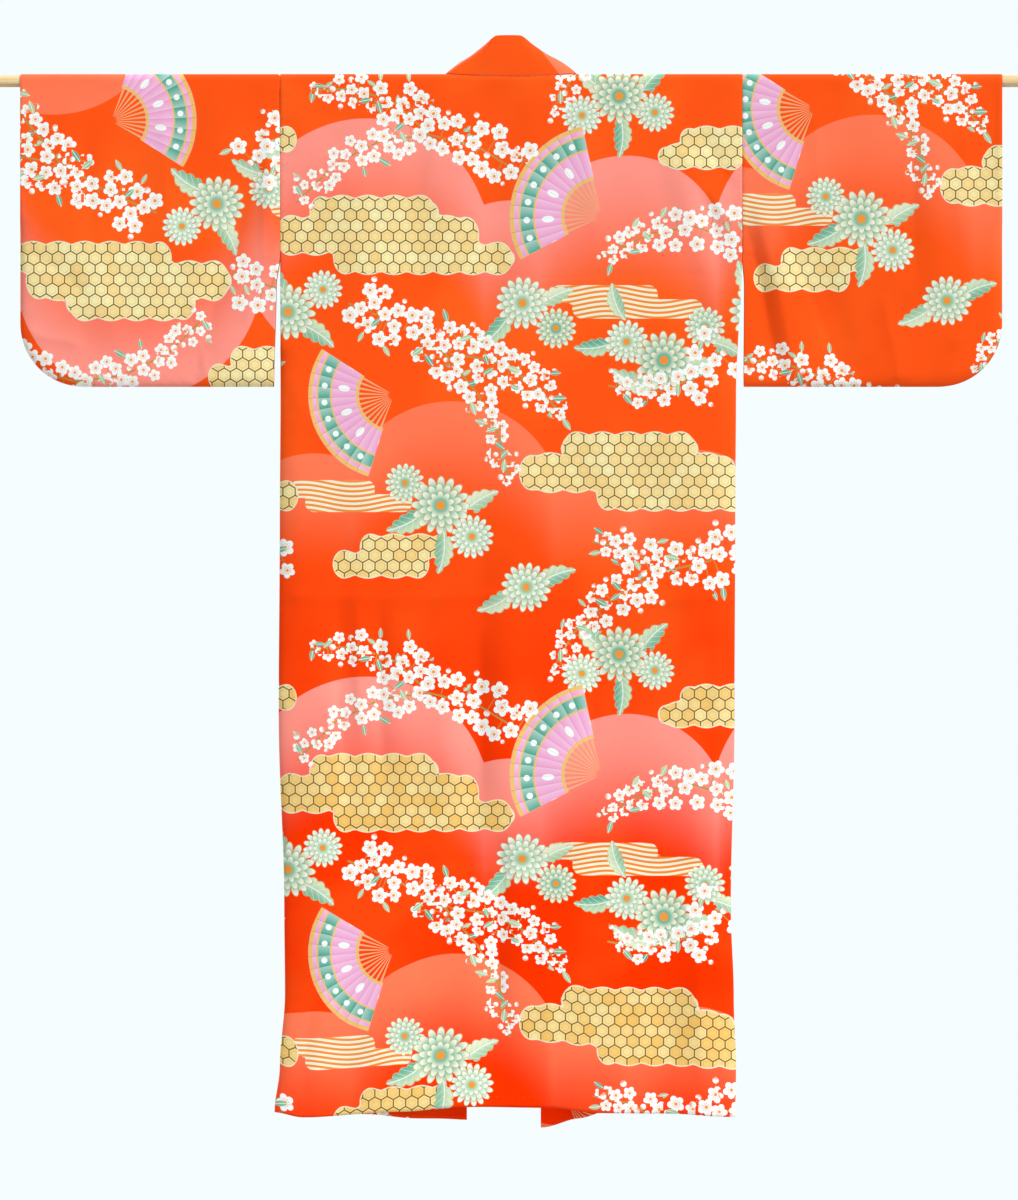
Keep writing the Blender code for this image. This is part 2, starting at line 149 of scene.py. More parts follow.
# The body's side lines and free front edges: distance from the centre
SIDE_LINE = (
    # drop, left, right
    (0.000, 0.3105, 0.3105),
    (0.243, 0.3105, 0.3105),
    (0.430, 0.3100, 0.3020),
    (0.600, 0.3110, 0.3010),
    (0.860, 0.3125, 0.3000),
    (1.120, 0.3050, 0.2950),
    (1.240, 0.3040, 0.2990),
    (1.340, 0.3110, 0.3020),
    (1.402, 0.3180, 0.3010),
)
EDGE_LINE = (
    # drop, left, right
    (0.000, 0.0400, 0.0380),
    (0.140, 0.0410, 0.0400),
    (0.500, 0.0490, 0.0400),
    (0.900, 0.0560, 0.0390),
    (1.402, 0.0600, 0.0400),
)
BACK_HEM = (
    # x, drop
    (-0.318, 1.396),
    (-0.280, 1.402),
    (-0.150, 1.394),
    (-0.060, 1.388),
    (0.050, 1.389),
    (0.120, 1.396),
    (0.210, 1.397),
    (0.301, 1.402),
)
FRONT_HEM = (
    # x, drop
    (-0.318, 1.396),
    (-0.214, 1.402),
    (-0.060, 1.409),
    (0.040, 1.419),
    (0.090, 1.407),
    (0.150, 1.392),
    (0.220, 1.388),
    (0.301, 1.401),
)

# How far each sleeve's inner edge hangs from the body below its seam
SLEEVE_SPREAD = {
    # drop, distance
    LEFT: ((0.243, 0.0000), (0.285, 0.0052), (0.420, 0.0082)),
    RIGHT: ((0.243, 0.0000), (0.285, 0.0026), (0.420, 0.0018)),
}

# Soft folds: height is away from the rod's plane, minus is a trough
BACK_FOLDS = (
    # x_top, x_low, drop_top, drop_low, half_width, height
    (-0.210, -0.200, 0.020, 0.420, 0.026, 0.0022),
    (-0.130, -0.120, 0.010, 0.360, 0.024, -0.0022),
    (-0.020, -0.030, 0.020, 0.400, 0.028, -0.0024),
    (0.240, 0.308, 0.080, 0.330, 0.014, -0.0030),
    (0.205, 0.290, 0.060, 0.360, 0.020, 0.0026),
    (-0.041, -0.050, 0.560, 1.130, 0.020, -0.0052),
    (-0.090, -0.085, 0.620, 1.200, 0.022, 0.0032),
    (0.005, -0.005, 0.600, 1.160, 0.020, 0.0036),
    (-0.226, -0.215, 0.600, 1.060, 0.016, -0.0034),
    (-0.180, -0.165, 0.620, 1.100, 0.018, -0.0030),
    (0.262, 0.268, 0.560, 1.220, 0.014, -0.0026),
    (-0.012, -0.030, 0.980, 1.500, 0.024, -0.0048),
    (-0.150, -0.190, 0.980, 1.520, 0.040, 0.0044),
    (0.110, 0.120, 0.900, 1.520, 0.050, 0.0034),
    (0.205, 0.215, 1.000, 1.520, 0.030, -0.0036),
)
FRONT_FOLDS = {
    LEFT: (
        # x_top, x_low, start, half_width, height
        (0.076, 0.088, 0.520, 0.024, 0.0110),
        (0.118, 0.140, 0.400, 0.024, -0.0120),
        (0.172, 0.195, 0.420, 0.026, 0.0130),
        (0.225, 0.250, 0.520, 0.024, -0.0090),
    ),
    RIGHT: (
        (0.062, 0.068, 0.500, 0.022, -0.0080),
        (0.104, 0.118, 0.400, 0.024, 0.0120),
        (0.158, 0.176, 0.420, 0.026, -0.0120),
        (0.212, 0.232, 0.480, 0.026, 0.0110),
    ),
}
SLEEVE_FOLDS = {
    LEFT: (
        # x_top, x_low, drop_top, drop_low, half_width, height
        (0.322, 0.335, 0.040, 0.300, 0.010, 0.0028),
        (0.350, 0.430, 0.120, 0.440, 0.024, -0.0026),
        (0.600, 0.500, 0.180, 0.430, 0.026, 0.0024),
        (0.510, 0.500, 0.020, 0.300, 0.030, -0.0022),
    ),
    RIGHT: (
        (0.312, 0.362, 0.170, 0.460, 0.013, -0.0030),
        (0.334, 0.400, 0.150, 0.450, 0.018, 0.0026),
        (0.370, 0.470, 0.140, 0.440, 0.022, -0.0026),
        (0.560, 0.575, 0.020, 0.330, 0.026, 0.0024),
    ),
}
COLLAR_BACK = {
    LEFT: (
        # seam_share, edge_x, edge_y, edge_z
        (0.36, 0.0190, -0.0030, 0.0606),
        (0.66, 0.0350, 0.0005, 0.0492),
        (0.90, 0.0480, 0.0050, 0.0375),
    ),
    RIGHT: (
        (0.36, 0.0114, -0.0030, 0.0606),
        (0.66, 0.0283, 0.0005, 0.0492),
        (0.90, 0.0444, 0.0050, 0.0375),
    ),
}
COLLAR_BACK_CENTRE = (0.0, -0.0060, -0.0040, 0.0609)
COLLAR_SIDE = (
    # seam_drop, edge_x, edge_y, edge_z
    (0.0000, 0.0505, 0.0076, 0.0330),
    (0.0013, 0.0545, 0.0105, 0.0290),
    (0.0046, 0.0578, 0.0140, 0.0235),
    (0.0091, 0.0592, 0.0172, 0.0170),
    (0.0300, 0.0590, 0.0205, 0.0030),
    (0.0550, 0.0530, 0.0210, -0.0230),
    (0.0900, 0.0460, 0.0185, -0.0650),
    (0.1400, 0.0420, 0.0140, -0.1230),
)

# Fine creases, finer than the solids have. A crease is sharp along its line.
BACK_CREASES = (
    # x_start, drop_start, x_end, drop_end, half_width, height
    (-0.370, 0.704, 0.020, 0.703, 0.0090, 0.0020),
    (-0.080, 0.703, 0.370, 0.706, 0.0090, 0.0020),
    (-0.245, 1.060, 0.370, 1.064, 0.0090, -0.0019),
    (0.2890, 0.640, 0.2840, 1.100, 0.0070, -0.0026),
    (0.2200, 0.090, 0.3150, 0.232, 0.0110, 0.0026),
    (0.2500, 0.075, 0.3150, 0.175, 0.0090, -0.0020),
    (-0.2450, 0.080, -0.3150, 0.220, 0.0100, 0.0016),
    (-0.0800, 0.006, -0.1400, 0.250, 0.0090, 0.0008),
    (0.0800, 0.006, 0.1250, 0.270, 0.0100, 0.0008),
    (-0.0430, 0.740, -0.0420, 1.010, 0.0115, -0.0030),
    (-0.0140, 1.020, -0.0200, 1.290, 0.0085, -0.0050),
    (-0.2350, 0.690, -0.2260, 0.945, 0.0075, -0.0028),
    (-0.2080, 0.700, -0.2020, 0.900, 0.0070, 0.0018),
    (-0.1790, 0.705, -0.1740, 0.950, 0.0075, -0.0026),
    (-0.1170, 1.070, -0.1210, 1.260, 0.0080, -0.0024),
    (0.1080, 0.680, 0.1120, 0.960, 0.0090, -0.0020),
    (-0.3120, 0.400, -0.2350, 0.520, 0.0110, 0.0010),
    (0.3020, 0.410, 0.2300, 0.560, 0.0110, 0.0010),
    (0.1500, 1.090, 0.1650, 1.420, 0.0100, -0.0018),
    (-0.1150, 1.130, -0.1320, 1.420, 0.0110, 0.0019),
    (-0.2600, 1.180, -0.2850, 1.420, 0.0100, -0.0018),
    (0.0450, 1.120, 0.0520, 1.420, 0.0110, 0.0016),
    (0.2450, 1.100, 0.2600, 1.400, 0.0090, 0.0018),
)
FRONT_CREASES = (
    # distance from the centre instead of x
    (0.000, 0.704, 0.370, 0.705, 0.0090, 0.0020),
    (0.000, 1.062, 0.370, 1.061, 0.0090, -0.0019),
    (0.2200, 0.090, 0.3150, 0.232, 0.0110, 0.0022),
    (0.2860, 0.640, 0.2820, 1.100, 0.0070, -0.0024),
    (0.1100, 0.020, 0.1500, 0.300, 0.0100, 0.0015),
    (0.3020, 0.410, 0.2300, 0.560, 0.0110, 0.0015),
    (0.1900, 0.120, 0.2000, 0.520, 0.0110, -0.0014),
)
SLEEVE_CREASES = {
    LEFT: (
        (0.3300, 0.020, 0.3160, 0.330, 0.0060, 0.0018),
        (0.6620, 0.343, 0.5700, 0.368, 0.0070, 0.0018),
        (0.3500, 0.150, 0.4350, 0.430, 0.0080, -0.0022),
        (0.3120, 0.225, 0.3620, 0.345, 0.0070, 0.0018),
        (0.6560, 0.230, 0.5650, 0.300, 0.0080, -0.0014),
        (0.4700, 0.030, 0.4560, 0.260, 0.0110, 0.0015),
        (0.5750, 0.050, 0.5620, 0.240, 0.0100, -0.0014),
        (0.4300, 0.280, 0.4050, 0.430, 0.0080, 0.0017),
    ),
    RIGHT: (
        (0.3110, 0.180, 0.3680, 0.420, 0.0080, -0.0026),
        (0.3260, 0.160, 0.3900, 0.430, 0.0095, 0.0020),
        (0.3500, 0.170, 0.4550, 0.425, 0.0090, -0.0020),
        (0.6600, 0.320, 0.5850, 0.372, 0.0070, 0.0017),
        (0.4050, 0.020, 0.4150, 0.210, 0.0100, 0.0014),
        (0.5350, 0.040, 0.5450, 0.300, 0.0100, -0.0016),
        (0.6100, 0.060, 0.6020, 0.240, 0.0090, 0.0014),
        (0.5000, 0.290, 0.5250, 0.430, 0.0080, 0.0017),
    ),
}

# One repeat of the print, from its left and down from its top. A cloud is a
# stack of bars with round ends, and a mist is bounded above by arcs.
CLOUD_BARS = (
    # left, right, drop, half_height
    (0.066, 0.196, 0.196, 0.019),
    (0.020, 0.246, 0.227, 0.023),
    (0.096, 0.300, 0.258, 0.018),
    (0.402, 0.545, 0.514, 0.019),
    (0.352, 0.590, 0.546, 0.023),
    (0.450, 0.640, 0.577, 0.017),
    (0.560, 0.640, 0.098, 0.014),
    (0.530, 0.612, 0.121, 0.014),
    (0.128, 0.216, 0.646, 0.014),
    (0.092, 0.188, 0.669, 0.015),
)
STREAM_BARS = (
    (0.380, 0.500, 0.306, 0.012),
    (0.410, 0.560, 0.326, 0.013),
    (0.030, 0.120, 0.568, 0.012),
    (0.050, 0.170, 0.587, 0.012),
)
MIST_HIGH = (
    # centre, drop of the centre, radius
    (0.120, 0.235, 0.165),
    (0.315, 0.300, 0.120),
    (0.470, 0.255, 0.135),
    (0.600, 0.315, 0.110),
)
MIST_LOW = (
    (0.050, 0.640, 0.120),
    (0.235, 0.600, 0.150),
    (0.420, 0.655, 0.125),
    (0.560, 0.630, 0.115),
)
BOUGHS = (
    # a bough's points, from its base to its tip
    ((0.330, 0.145), (0.270, 0.108), (0.205, 0.092), (0.140, 0.100), (0.080, 0.130), (0.030, 0.180)),
    ((0.205, 0.092), (0.160, 0.050), (0.105, 0.030), (0.050, 0.032)),
    ((0.100, 0.320), (0.160, 0.345), (0.225, 0.385), (0.270, 0.440), (0.300, 0.500), (0.312, 0.560)),
    ((0.225, 0.385), (0.290, 0.395), (0.345, 0.425), (0.385, 0.470)),
    ((0.620, 0.235), (0.560, 0.215), (0.500, 0.225), (0.440, 0.255)),
    ((0.640, 0.640), (0.580, 0.665), (0.515, 0.680), (0.450, 0.715), (0.400, 0.760), (0.370, 0.810)),
    ((0.515, 0.680), (0.480, 0.650), (0.430, 0.640)),
    ((0.600, 0.380), (0.560, 0.420), (0.500, 0.440), (0.450, 0.430)),
)
BLOSSOM_COUNTS = (40, 24, 48, 30, 26, 44, 14, 22)
LARGE_MOTIFS = (
    # across, down, radius, turn in degrees, kind
    (0.390, 0.180, 0.104, 205.0, 1.2),
    (0.112, 0.458, 0.096, 160.0, 1.6),
    (0.520, 0.395, 0.040, 10.0, 0.2),
    (0.470, 0.370, 0.030, 40.0, 0.7),
    (0.575, 0.350, 0.028, 70.0, 0.5),
    (0.330, 0.318, 0.036, 25.0, 0.6),
    (0.375, 0.352, 0.028, 0.0, 0.2),
    (0.015, 0.330, 0.038, 15.0, 0.4),
    (0.062, 0.300, 0.027, 50.0, 0.8),
    (0.220, 0.590, 0.040, 35.0, 0.3),
    (0.262, 0.632, 0.030, 5.0, 0.7),
    (0.172, 0.560, 0.027, 60.0, 0.5),
    (0.335, 0.700, 0.034, 20.0, 0.5),
    (0.460, 0.040, 0.038, 10.0, 0.2),
    (0.508, 0.062, 0.027, 45.0, 0.6),
    (0.410, 0.066, 0.028, 30.0, 0.8),
    (0.560, 0.405, 0.036, -20.0, 2.3),
    (0.480, 0.425, 0.036, 200.0, 2.7),
    (0.430, 0.378, 0.032, 170.0, 2.1),
    (0.600, 0.375, 0.030, 20.0, 2.5),
    (0.300, 0.352, 0.034, 130.0, 2.2),
    (0.370, 0.310, 0.032, -30.0, 2.8),
    (0.050, 0.355, 0.036, 30.0, 2.4),
    (0.000, 0.290, 0.032, 240.0, 2.6),
    (0.180, 0.612, 0.036, 150.0, 2.2),
    (0.268, 0.585, 0.034, -35.0, 2.7),
    (0.225, 0.650, 0.034, 95.0, 2.4),
    (0.370, 0.685, 0.034, -25.0, 2.3),
    (0.300, 0.720, 0.034, 150.0, 2.6),
    (0.500, 0.020, 0.034, -50.0, 2.3),
    (0.425, 0.022, 0.034, 220.0, 2.6),
    (0.465, 0.092, 0.032, 90.0, 2.2),
    (0.455, 0.318, 0.028, 250.0, 2.5),
)
FLOWER_RINGS = (
    # petals, middle, reach, width, shift
    (16.0, 0.74, 0.26, 0.135, 0.0),
    (14.0, 0.52, 0.24, 0.125, 0.5),
    (10.0, 0.30, 0.20, 0.110, 0.0),
)
FAN_RIVET = -0.50
FAN_TRIMS = ((1.165, 0.032), (0.51, 0.024), (0.88, 0.013), (1.07, 0.013))
LOBES = 18
LOBE_DEPTH = 0.0045
# A mist's repeat starts this far above its upper edge
MIST_MARGIN = 0.03
# Half widths of a bough, of a blossom's twig and of a bud's stalk
BRANCH_HALF = 0.0013
TWIG_HALF = 0.0006
STALK_HALF = 0.0005
# How blossoms are spread: tries for each, width of a bough, room between two, and chances
BLOSSOM_TRIES = 12
BOUGH_SPREAD = 0.037
BLOSSOM_ROOM = 0.74
BUD_CHANCE = 0.55
LEAF_CHANCE = 0.40
LEAF_REACH = 0.0065
SHORTEST_TWIG = 0.010
PRINT_SEED = 23
# Farther than anything that the print measures
FAR = 9.0

# Where each piece was cut from the printed cloth: its origin in the repeat
BACK_START = (0.315, 0.010)
FRONT_START = {LEFT: (0.540, 0.120), RIGHT: (0.235, 0.560)}
SLEEVE_START = {LEFT: (0.560, 0.505), RIGHT: (0.060, 0.395)}
COLLAR_START = (0.215, 0.242)
# Half the length of plain collar at the nape
NAPE_HALF = 0.120
# Height of the upper edge of the turned-in hem
HEM_TURN = -1.374
# How far the reverse is paler than the face
REVERSE_FADE = 0.55

LAMPS = (
    # name, place, share of the key light
    ("key", (3.2, -2.3, 2.6), 1.0),
    ("side", (-2.6, -2.6, 0.4), 0.12),
    ("rear", (-2.2, 2.6, 2.4), 0.80),
)
LAMP_AIM = (0.0, 0.0, -0.6)
LAMP_ANGLE = math.radians(16)


def tone(red, green, blue):
    """A colour given in screen values of 0 to 255, as Blender's linear colour."""
    values = [value / 255 for value in (red, green, blue)]
    return tuple(v / 12.92 if v <= 0.04045 else ((v + 0.055) / 1.055) ** 2.4 for v in values) + (1.0,)


# Properties

def length(name, description, default, low=0.0, high=1.0):
    """A size in metres."""
    return FloatProperty(name=name, description=description, default=default, min=low, max=high,
                         subtype="DISTANCE", unit="LENGTH", precision=5)


def colour(name, description, *values):
    """A colour, its default given in screen values."""
    return FloatVectorProperty(name=name, description=description, default=tone(*values), size=4,
                               min=0.0, max=1.0, subtype="COLOR")


class KimonoCloth(bpy.types.PropertyGroup):
    """Sizes of the cloth walls and of their creases."""

    wall: length("Cloth thickness", "Thickness of the cloth wall", 0.0009, 0.0003, 0.002)
    band: length("Collar thickness", "Thickness of the folded collar band", 0.0022, 0.0015, 0.004)
    spacing: length("Mesh spacing", "Size of the cloth's mesh cells", 0.0046, 0.003, 0.05)
    groove: length("Seam groove", "How deep a seam lies below the cloth", 0.0007, 0.0, 0.002)
    pucker: length("Seam pucker", "Height of the small waves along a seam", 0.00028, 0.0, 0.002)
    pucker_reach: length("Pucker reach", "How far the waves reach from a seam", 0.016, 0.002, 0.1)
    drift: length("Drift", "Height of the wide, soft unevenness of the cloth", 0.0015, 0.0, 0.004)
    crease: FloatProperty(name="Crease strength", description="Strength of the fine creases",
                          default=1.0, min=0.0, max=3.0, subtype="FACTOR")


class KimonoPrint(bpy.types.PropertyGroup):
    """Sizes and colours of the print, and of the painted light that leaves it paler high on the cloth."""

    repeat_width: length("Repeat width", "Width of one repeat", 0.63, 0.2, 1.0)
    repeat_length: length("Repeat length", "Length of one repeat", 0.75, 0.2, 1.0)
    blossom: length("Blossom radius", "Radius of a full blossom", 0.0116, 0.003, 0.03)
    cell: length("Lattice cell", "Width of one cell of the gold lattice", 0.0165, 0.005, 0.05)
    # The ground turns from the deep red low on the cloth to the lighter red high up, which is painted
    # light. It also takes random patches of the lighter red.
    ground: colour("Ground", "Red ground, low on the cloth", 252, 52, 0)
    ground_patches_and_painted_light: colour("Light ground", "Lighter red of the ground, high on the cloth", 255, 94, 28)
    coral: colour("Coral", "Coral mist", 255, 150, 136)
    orange: colour("Orange", "Orange mist", 255, 122, 84)
    # The clouds' cells take random tints between gold and deep gold, and painted light leaves the gold
    # paler high on the cloth and deeper low down. Deep gold also draws trims and outlines of the print.
    gold: colour("Gold", "Gold clouds", 245, 238, 178)
    gold_deep: colour("Deep gold", "Darker cells of the gold clouds", 236, 192, 104)
    line: colour("Lattice line", "Thin lines of the clouds", 96, 62, 30)
    white: colour("White", "Blossoms", 243, 250, 246)
    blush: colour("Blush", "Centres of the blossoms", 250, 160, 134)
    celadon: colour("Celadon", "Pale green of flowers and leaves", 186, 214, 172)
    teal: colour("Teal", "Deep green of flowers and leaves", 70, 164, 142)
    cream: colour("Cream", "Petal tips", 238, 236, 206)
    lilac: colour("Lilac", "Fans", 236, 160, 206)
    amber: colour("Amber", "Flowing lines and fan ribs", 236, 150, 62)


class KimonoThread(bpy.types.PropertyGroup):
    """Sizes and colour of the stitches."""

    pitch: length("Stitch pitch", "Distance between two stitches", 0.0075, 0.002, 0.05)
    reach: length("Stitch length", "Length of one stitch", 0.0019, 0.0005, 0.01)
    radius: length("Thread radius", "Radius of the thread", 0.0002, 0.00005, 0.001)
    seed: IntProperty(name="Seed", description="Seed of the stitches' unevenness", default=5, min=0)
    shade: colour("Thread", "Colour of the thread", 226, 62, 12)


class KimonoRod(bpy.types.PropertyGroup):
    """Colours of the rod."""

    pale: colour("Pale wood", "Light wood of the rod", 246, 222, 176)
    grain: colour("Grain", "Darker grain of the rod", 222, 182, 118)


class KimonoStage(bpy.types.PropertyGroup):
    """The floor, the lights and the camera."""

    floor_drop: length("Floor depth", "How far the floor lies below the rod", 1.62, 1.0, 3.0)
    floor_half: length("Floor half size", "Half the size of the floor", 1.10, 0.5, 5.0)
    view_width: length("View width", "Width that the camera sees at the cloth", 1.368, 0.5, 5.0)
    view_distance: length("Camera distance", "Distance of the camera", 8.0, 2.0, 30.0)
    aim_x: length("Camera aim across", "Where the camera looks, across", -0.003, -1.0, 1.0)
    aim_z: length("Camera aim height", "Where the camera looks, in height", -0.698, -2.0, 1.0)
    floor: colour("Floor", "Colour of the floor", 196, 203, 205)
    air: colour("Air", "Colour of the air behind", 245, 253, 255)
    key: FloatProperty(name="Key light", description="Strength of the key light", default=3.0,
                       min=0.0, max=20.0)
    fill: FloatProperty(name="Fill", description="Strength of the soft light all round", default=0.48,
                        min=0.0, max=3.0)


# Shapes of the cloth

def smooth(value):
    """Rise gently from 0 to 1 as value goes from 0 to 1."""
    value = np.clip(value, 0.0, 1.0)
    return value * value * (3.0 - 2.0 * value)


def rounded(value):
    """A quarter round: 0 at the edge, 1 once value reaches 1."""
    value = np.clip(value, 0.0, 1.0)
    return np.sqrt(1.0 - (1.0 - value) ** 2)


def read_table(table, at, column=1):
    """Read a column of a table between its rows, along a soft curve."""
    places = np.array([row[0] for row in table])
    values = np.array([row[column] for row in table])
    index = np.clip(np.searchsorted(places, at) - 1, 0, len(places) - 2)
    share = smooth((at - places[index]) / (places[index + 1] - places[index]))
    return values[index] + (values[index + 1] - values[index]) * share


def side_column(side):
    """The column of a table that holds one side."""
    return 1 if side == LEFT else 2


def body_half(x, drop):
    """Distance of the side line from the centre, on the side where x lies."""
    left, right = (read_table(SIDE_LINE, drop, side_column(side)) for side in (LEFT, RIGHT))
    return np.where(x < 0, left, right)


def edge_half(side, drop):
    """Distance of a front's free edge from the centre."""
    return read_table(EDGE_LINE, drop, side_column(side))


def collar_seam_half(side, drop):
    """Where the collar is sewn to the front, as a distance from the centre."""
    hanging = edge_half(side, drop) + COLLAR_WIDTH
    return NECK_HALF + (hanging - NECK_HALF) * smooth(drop / NECK_EASE)


def overlap_seam_half(side, drop):
    """Where the overlap is sewn to the front, as a distance from the centre."""
    tip = collar_seam_half(side, drop) + OVERLAP_TIP
    share = (drop - OVERLAP_DROP) / (BODY_DROP - OVERLAP_DROP)
    hem = edge_half(side, BODY_DROP) + OVERLAP_HEM[side]
    top = collar_seam_half(side, OVERLAP_DROP) + OVERLAP_TIP
    return np.where(drop <= OVERLAP_DROP, tip, np.maximum(tip, top + (hem - top) * share))


def fold_height(folds, x, drop):
    """Sum of the folds that rise and die away again between their two ends."""
    total = np.zeros(np.broadcast(x, drop).shape)
    for x_top, x_low, drop_top, drop_low, half_width, height in folds:
        share = np.clip((drop - drop_top) / (drop_low - drop_top), 0.0, 1.0)
        centre = x_top + (x_low - x_top) * share
        total += height * np.sin(math.pi * share) * np.exp(-(((x - centre) / half_width) ** 2))
    return total


def hanging_height(side, x, drop):
    """Sum of the front's folds, which grow down to the hem."""
    total = np.zeros(np.broadcast(x, drop).shape)
    for x_top, x_low, start, half_width, height in FRONT_FOLDS[side]:
        share = np.clip((drop - start) / (BODY_DROP - start), 0.0, 1.0)
        centre = x_top + (x_low - x_top) * share
        total += height * smooth(share) * np.exp(-(((np.abs(x) - centre) / half_width) ** 2))
    return total


def crease_height(creases, x, drop):
    """Sum of creases, each sharp along its line and fading at both ends."""
    total = np.zeros(np.broadcast(x, drop).shape)
    for x_start, drop_start, x_end, drop_end, half_width, height in creases:
        across, down = x_end - x_start, drop_end - drop_start
        size = math.hypot(across, down)
        share = ((x - x_start) * across + (drop - drop_start) * down) / size ** 2
        off = ((x - x_start) * down - (drop - drop_start) * across) / size
        off = off + CREASE_WANDER * np.sin(share * 9.0 + drop_start * 40.0)
        ends = smooth(share / CREASE_END) * smooth((1.0 - share) / CREASE_END)
        rounding = CREASE_ROUNDING * half_width
        steep = (np.sqrt(off * off + rounding * rounding) - rounding) / half_width
        total += height * ends * np.exp(-steep)
    return total


def drift_height(x, drop):
    """The wide, soft unevenness of hung cloth, within one unit up and down."""
    wave = 0.42 * np.sin(x * 27.0 + 1.3 * np.sin(drop * 4.1) + 0.7 * np.sin(drop * 9.0))
    wave += 0.32 * np.sin(x * 58.0 - drop * 2.2 + 1.6 * np.sin(drop * 6.0 + 1.0))
    wave += 0.17 * np.sin(drop * 12.0 + 2.4 * np.sin(x * 7.0) + 1.0)
    wave += 0.09 * np.sin(x * 93.0 + drop * 7.0 + np.sin(drop * 17.0))
    return wave * (0.6 + 0.4 * smooth(drop / 0.5))


def seam_height(cloth, distance, along):
    """The groove of a seam and the small uneven waves beside it."""
    wave = np.sin(along * 330.0 + 1.9 * np.sin(along * 27.0))
    wave += 0.7 * np.sin(along * 214.0 + 1.1 * np.sin(along * 41.0) + 2.0)
    wave *= 0.6 + 0.4 * np.sin(along * 17.0 + 0.8)
    groove = cloth.groove * np.exp(-((distance / GROOVE_HALF) ** 2))
    return cloth.pucker * wave * np.exp(-distance / cloth.pucker_reach) - groove


def body_closing(x, drop):
    """1 on the open cloth, falling to 0 at a sewn side seam."""
    inside = body_half(x, drop) - np.abs(x)
    sewn = smooth((drop - SIDE_SEAM_DROP + OPENING_EASE) / OPENING_EASE)
    return 1.0 - sewn * (1.0 - rounded(inside / SIDE_ROUND))


def body_detail(cloth, layer, x, drop):
    """What the looks add to the body's folds: creases, drift and seam waves."""
    inside = body_half(x, drop) - np.abs(x)
    if layer == BACK:
        creases = crease_height(BACK_CREASES, x, drop)
    else:
        creases = crease_height(FRONT_CREASES, np.abs(x), drop)
    fine = creases * cloth.crease + drift_height(x, drop + 0.3 * layer) * cloth.drift
    fine *= smooth(inside / SIDE_ROUND) * smooth(drop / CREASE_START)
    fine += seam_height(cloth, np.maximum(inside, 0.0), drop) * smooth(drop / SEAM_START)
    near_hem = np.exp(-np.maximum(BODY_DROP - drop, 0.0) / HEM_WAVE_REACH)
    fine += 0.5 * cloth.pucker * np.sin(x * 190.0 + 2.0 * np.sin(x * 23.0)) * near_hem
    return fine


def body_point(cloth, layer, side, x, drop, extra=0.0):
    """Points of the body's cloth. The lowest rows follow the hem's own line."""
    inside = body_half(x, drop) - np.abs(x)
    swing = smooth((drop - SWING_START) / (BODY_DROP - SWING_START))
    if layer == BACK:
        depth = BACK_SWING * swing + fold_height(BACK_FOLDS, x, drop)
    else:
        depth = FRONT_SWING * swing + hanging_height(side, x, drop)
    depth = depth * smooth(inside / (2 * SIDE_ROUND)) * smooth(drop / (2 * FOLD_RADIUS))
    depth = depth + FOLD_RADIUS * rounded(drop / FOLD_RADIUS) + body_detail(cloth, layer, x, drop) + extra
    y = layer * (SEAM_GAP / 2 + np.maximum(depth, 0.0) * body_closing(x, drop))
    hem = read_table(BACK_HEM if layer == BACK else FRONT_HEM, x)
    reach = smooth((drop - BODY_DROP + HEM_REACH) / HEM_REACH)
    return np.stack([x, y, FOLD_RADIUS - drop - (hem - BODY_DROP) * reach], axis=-1)


def sleeve_point(cloth, side, layer, share, drop):
    """Points of a sleeve, at a share of the way from its seam to its cuff."""
    corner_top = SLEEVE_DROP - SLEEVE_CORNER
    rise = np.clip((drop - corner_top) / SLEEVE_CORNER, 0.0, 1.0)
    outer = HALF_SPAN - SLEEVE_CORNER * (1.0 - np.sqrt(1.0 - rise * rise))
    swung = smooth((drop - ARMHOLE_DROP) / (SLEEVE_DROP - ARMHOLE_DROP))
    inner = HALF_BODY + SEAM_GAP + read_table(SLEEVE_SPREAD[side], drop)
    x = inner + (outer - inner) * share
    across = HALF_SPAN - SLEEVE_CORNER - x
    in_corner = (drop > corner_top) & (across < 0)
    inside = np.where(in_corner, SLEEVE_CORNER - np.hypot(across, drop - corner_top),
                      np.minimum(HALF_SPAN - x, SLEEVE_DROP - drop))
    inside = np.maximum(inside, 0.0)
    edge = rounded(inside / SLEEVE_ROUND)
    opened = smooth((CUFF_DROP - drop) / CUFF_EASE)
    edge = np.where(SLEEVE_DROP - drop > SLEEVE_CORNER, edge + (1.0 - edge) * opened, edge)
    depth = FOLD_RADIUS * rounded(drop / FOLD_RADIUS) - SLEEVE_PINCH * swung
    fade = np.where(drop < ARMHOLE_DROP, smooth((x - inner) / SLEEVE_FOLD_EASE), 1.0)
    fade = fade * smooth(inside / SLEEVE_FOLD_EASE)
    depth = depth + fold_height(SLEEVE_FOLDS[side], x, drop) * fade
    fine = crease_height(SLEEVE_CREASES[side], x, drop) * cloth.crease
    fine = fine + drift_height(x * side, drop + 0.9) * cloth.drift * SLEEVE_DETAIL
    fine = fine * smooth(inside / SLEEVE_CREASE_EASE) * smooth(drop / CREASE_START)
    sewn = np.where(drop < ARMHOLE_DROP, seam_height(cloth, x - inner, drop), 0.0)
    fine = fine + sewn * smooth(drop / SEAM_START)
    fine = fine + seam_height(cloth, inside, x + drop) * SLEEVE_DETAIL * smooth(drop / CREASE_START)
    depth = np.maximum(depth + fine, LEAST_DEPTH * smooth(inside / LEAST_DEPTH_EASE))
    return np.stack([side * x, layer * depth * edge, FOLD_RADIUS - drop], axis=-1)


def neck_angle(x):
    """How far round the rod the back's neckline lies from the top."""
    share = np.clip(np.abs(x) / NECK_HALF, 0.0, 1.0)
    return NECK_DIP * np.sqrt(1.0 - share * share)


def evenly(low, high, spacing):
    """Places from low to high in even steps near the spacing, high left out."""
    steps = max(1, math.ceil((high - low) / spacing))
    return [low + (high - low) * k / steps for k in range(steps)]


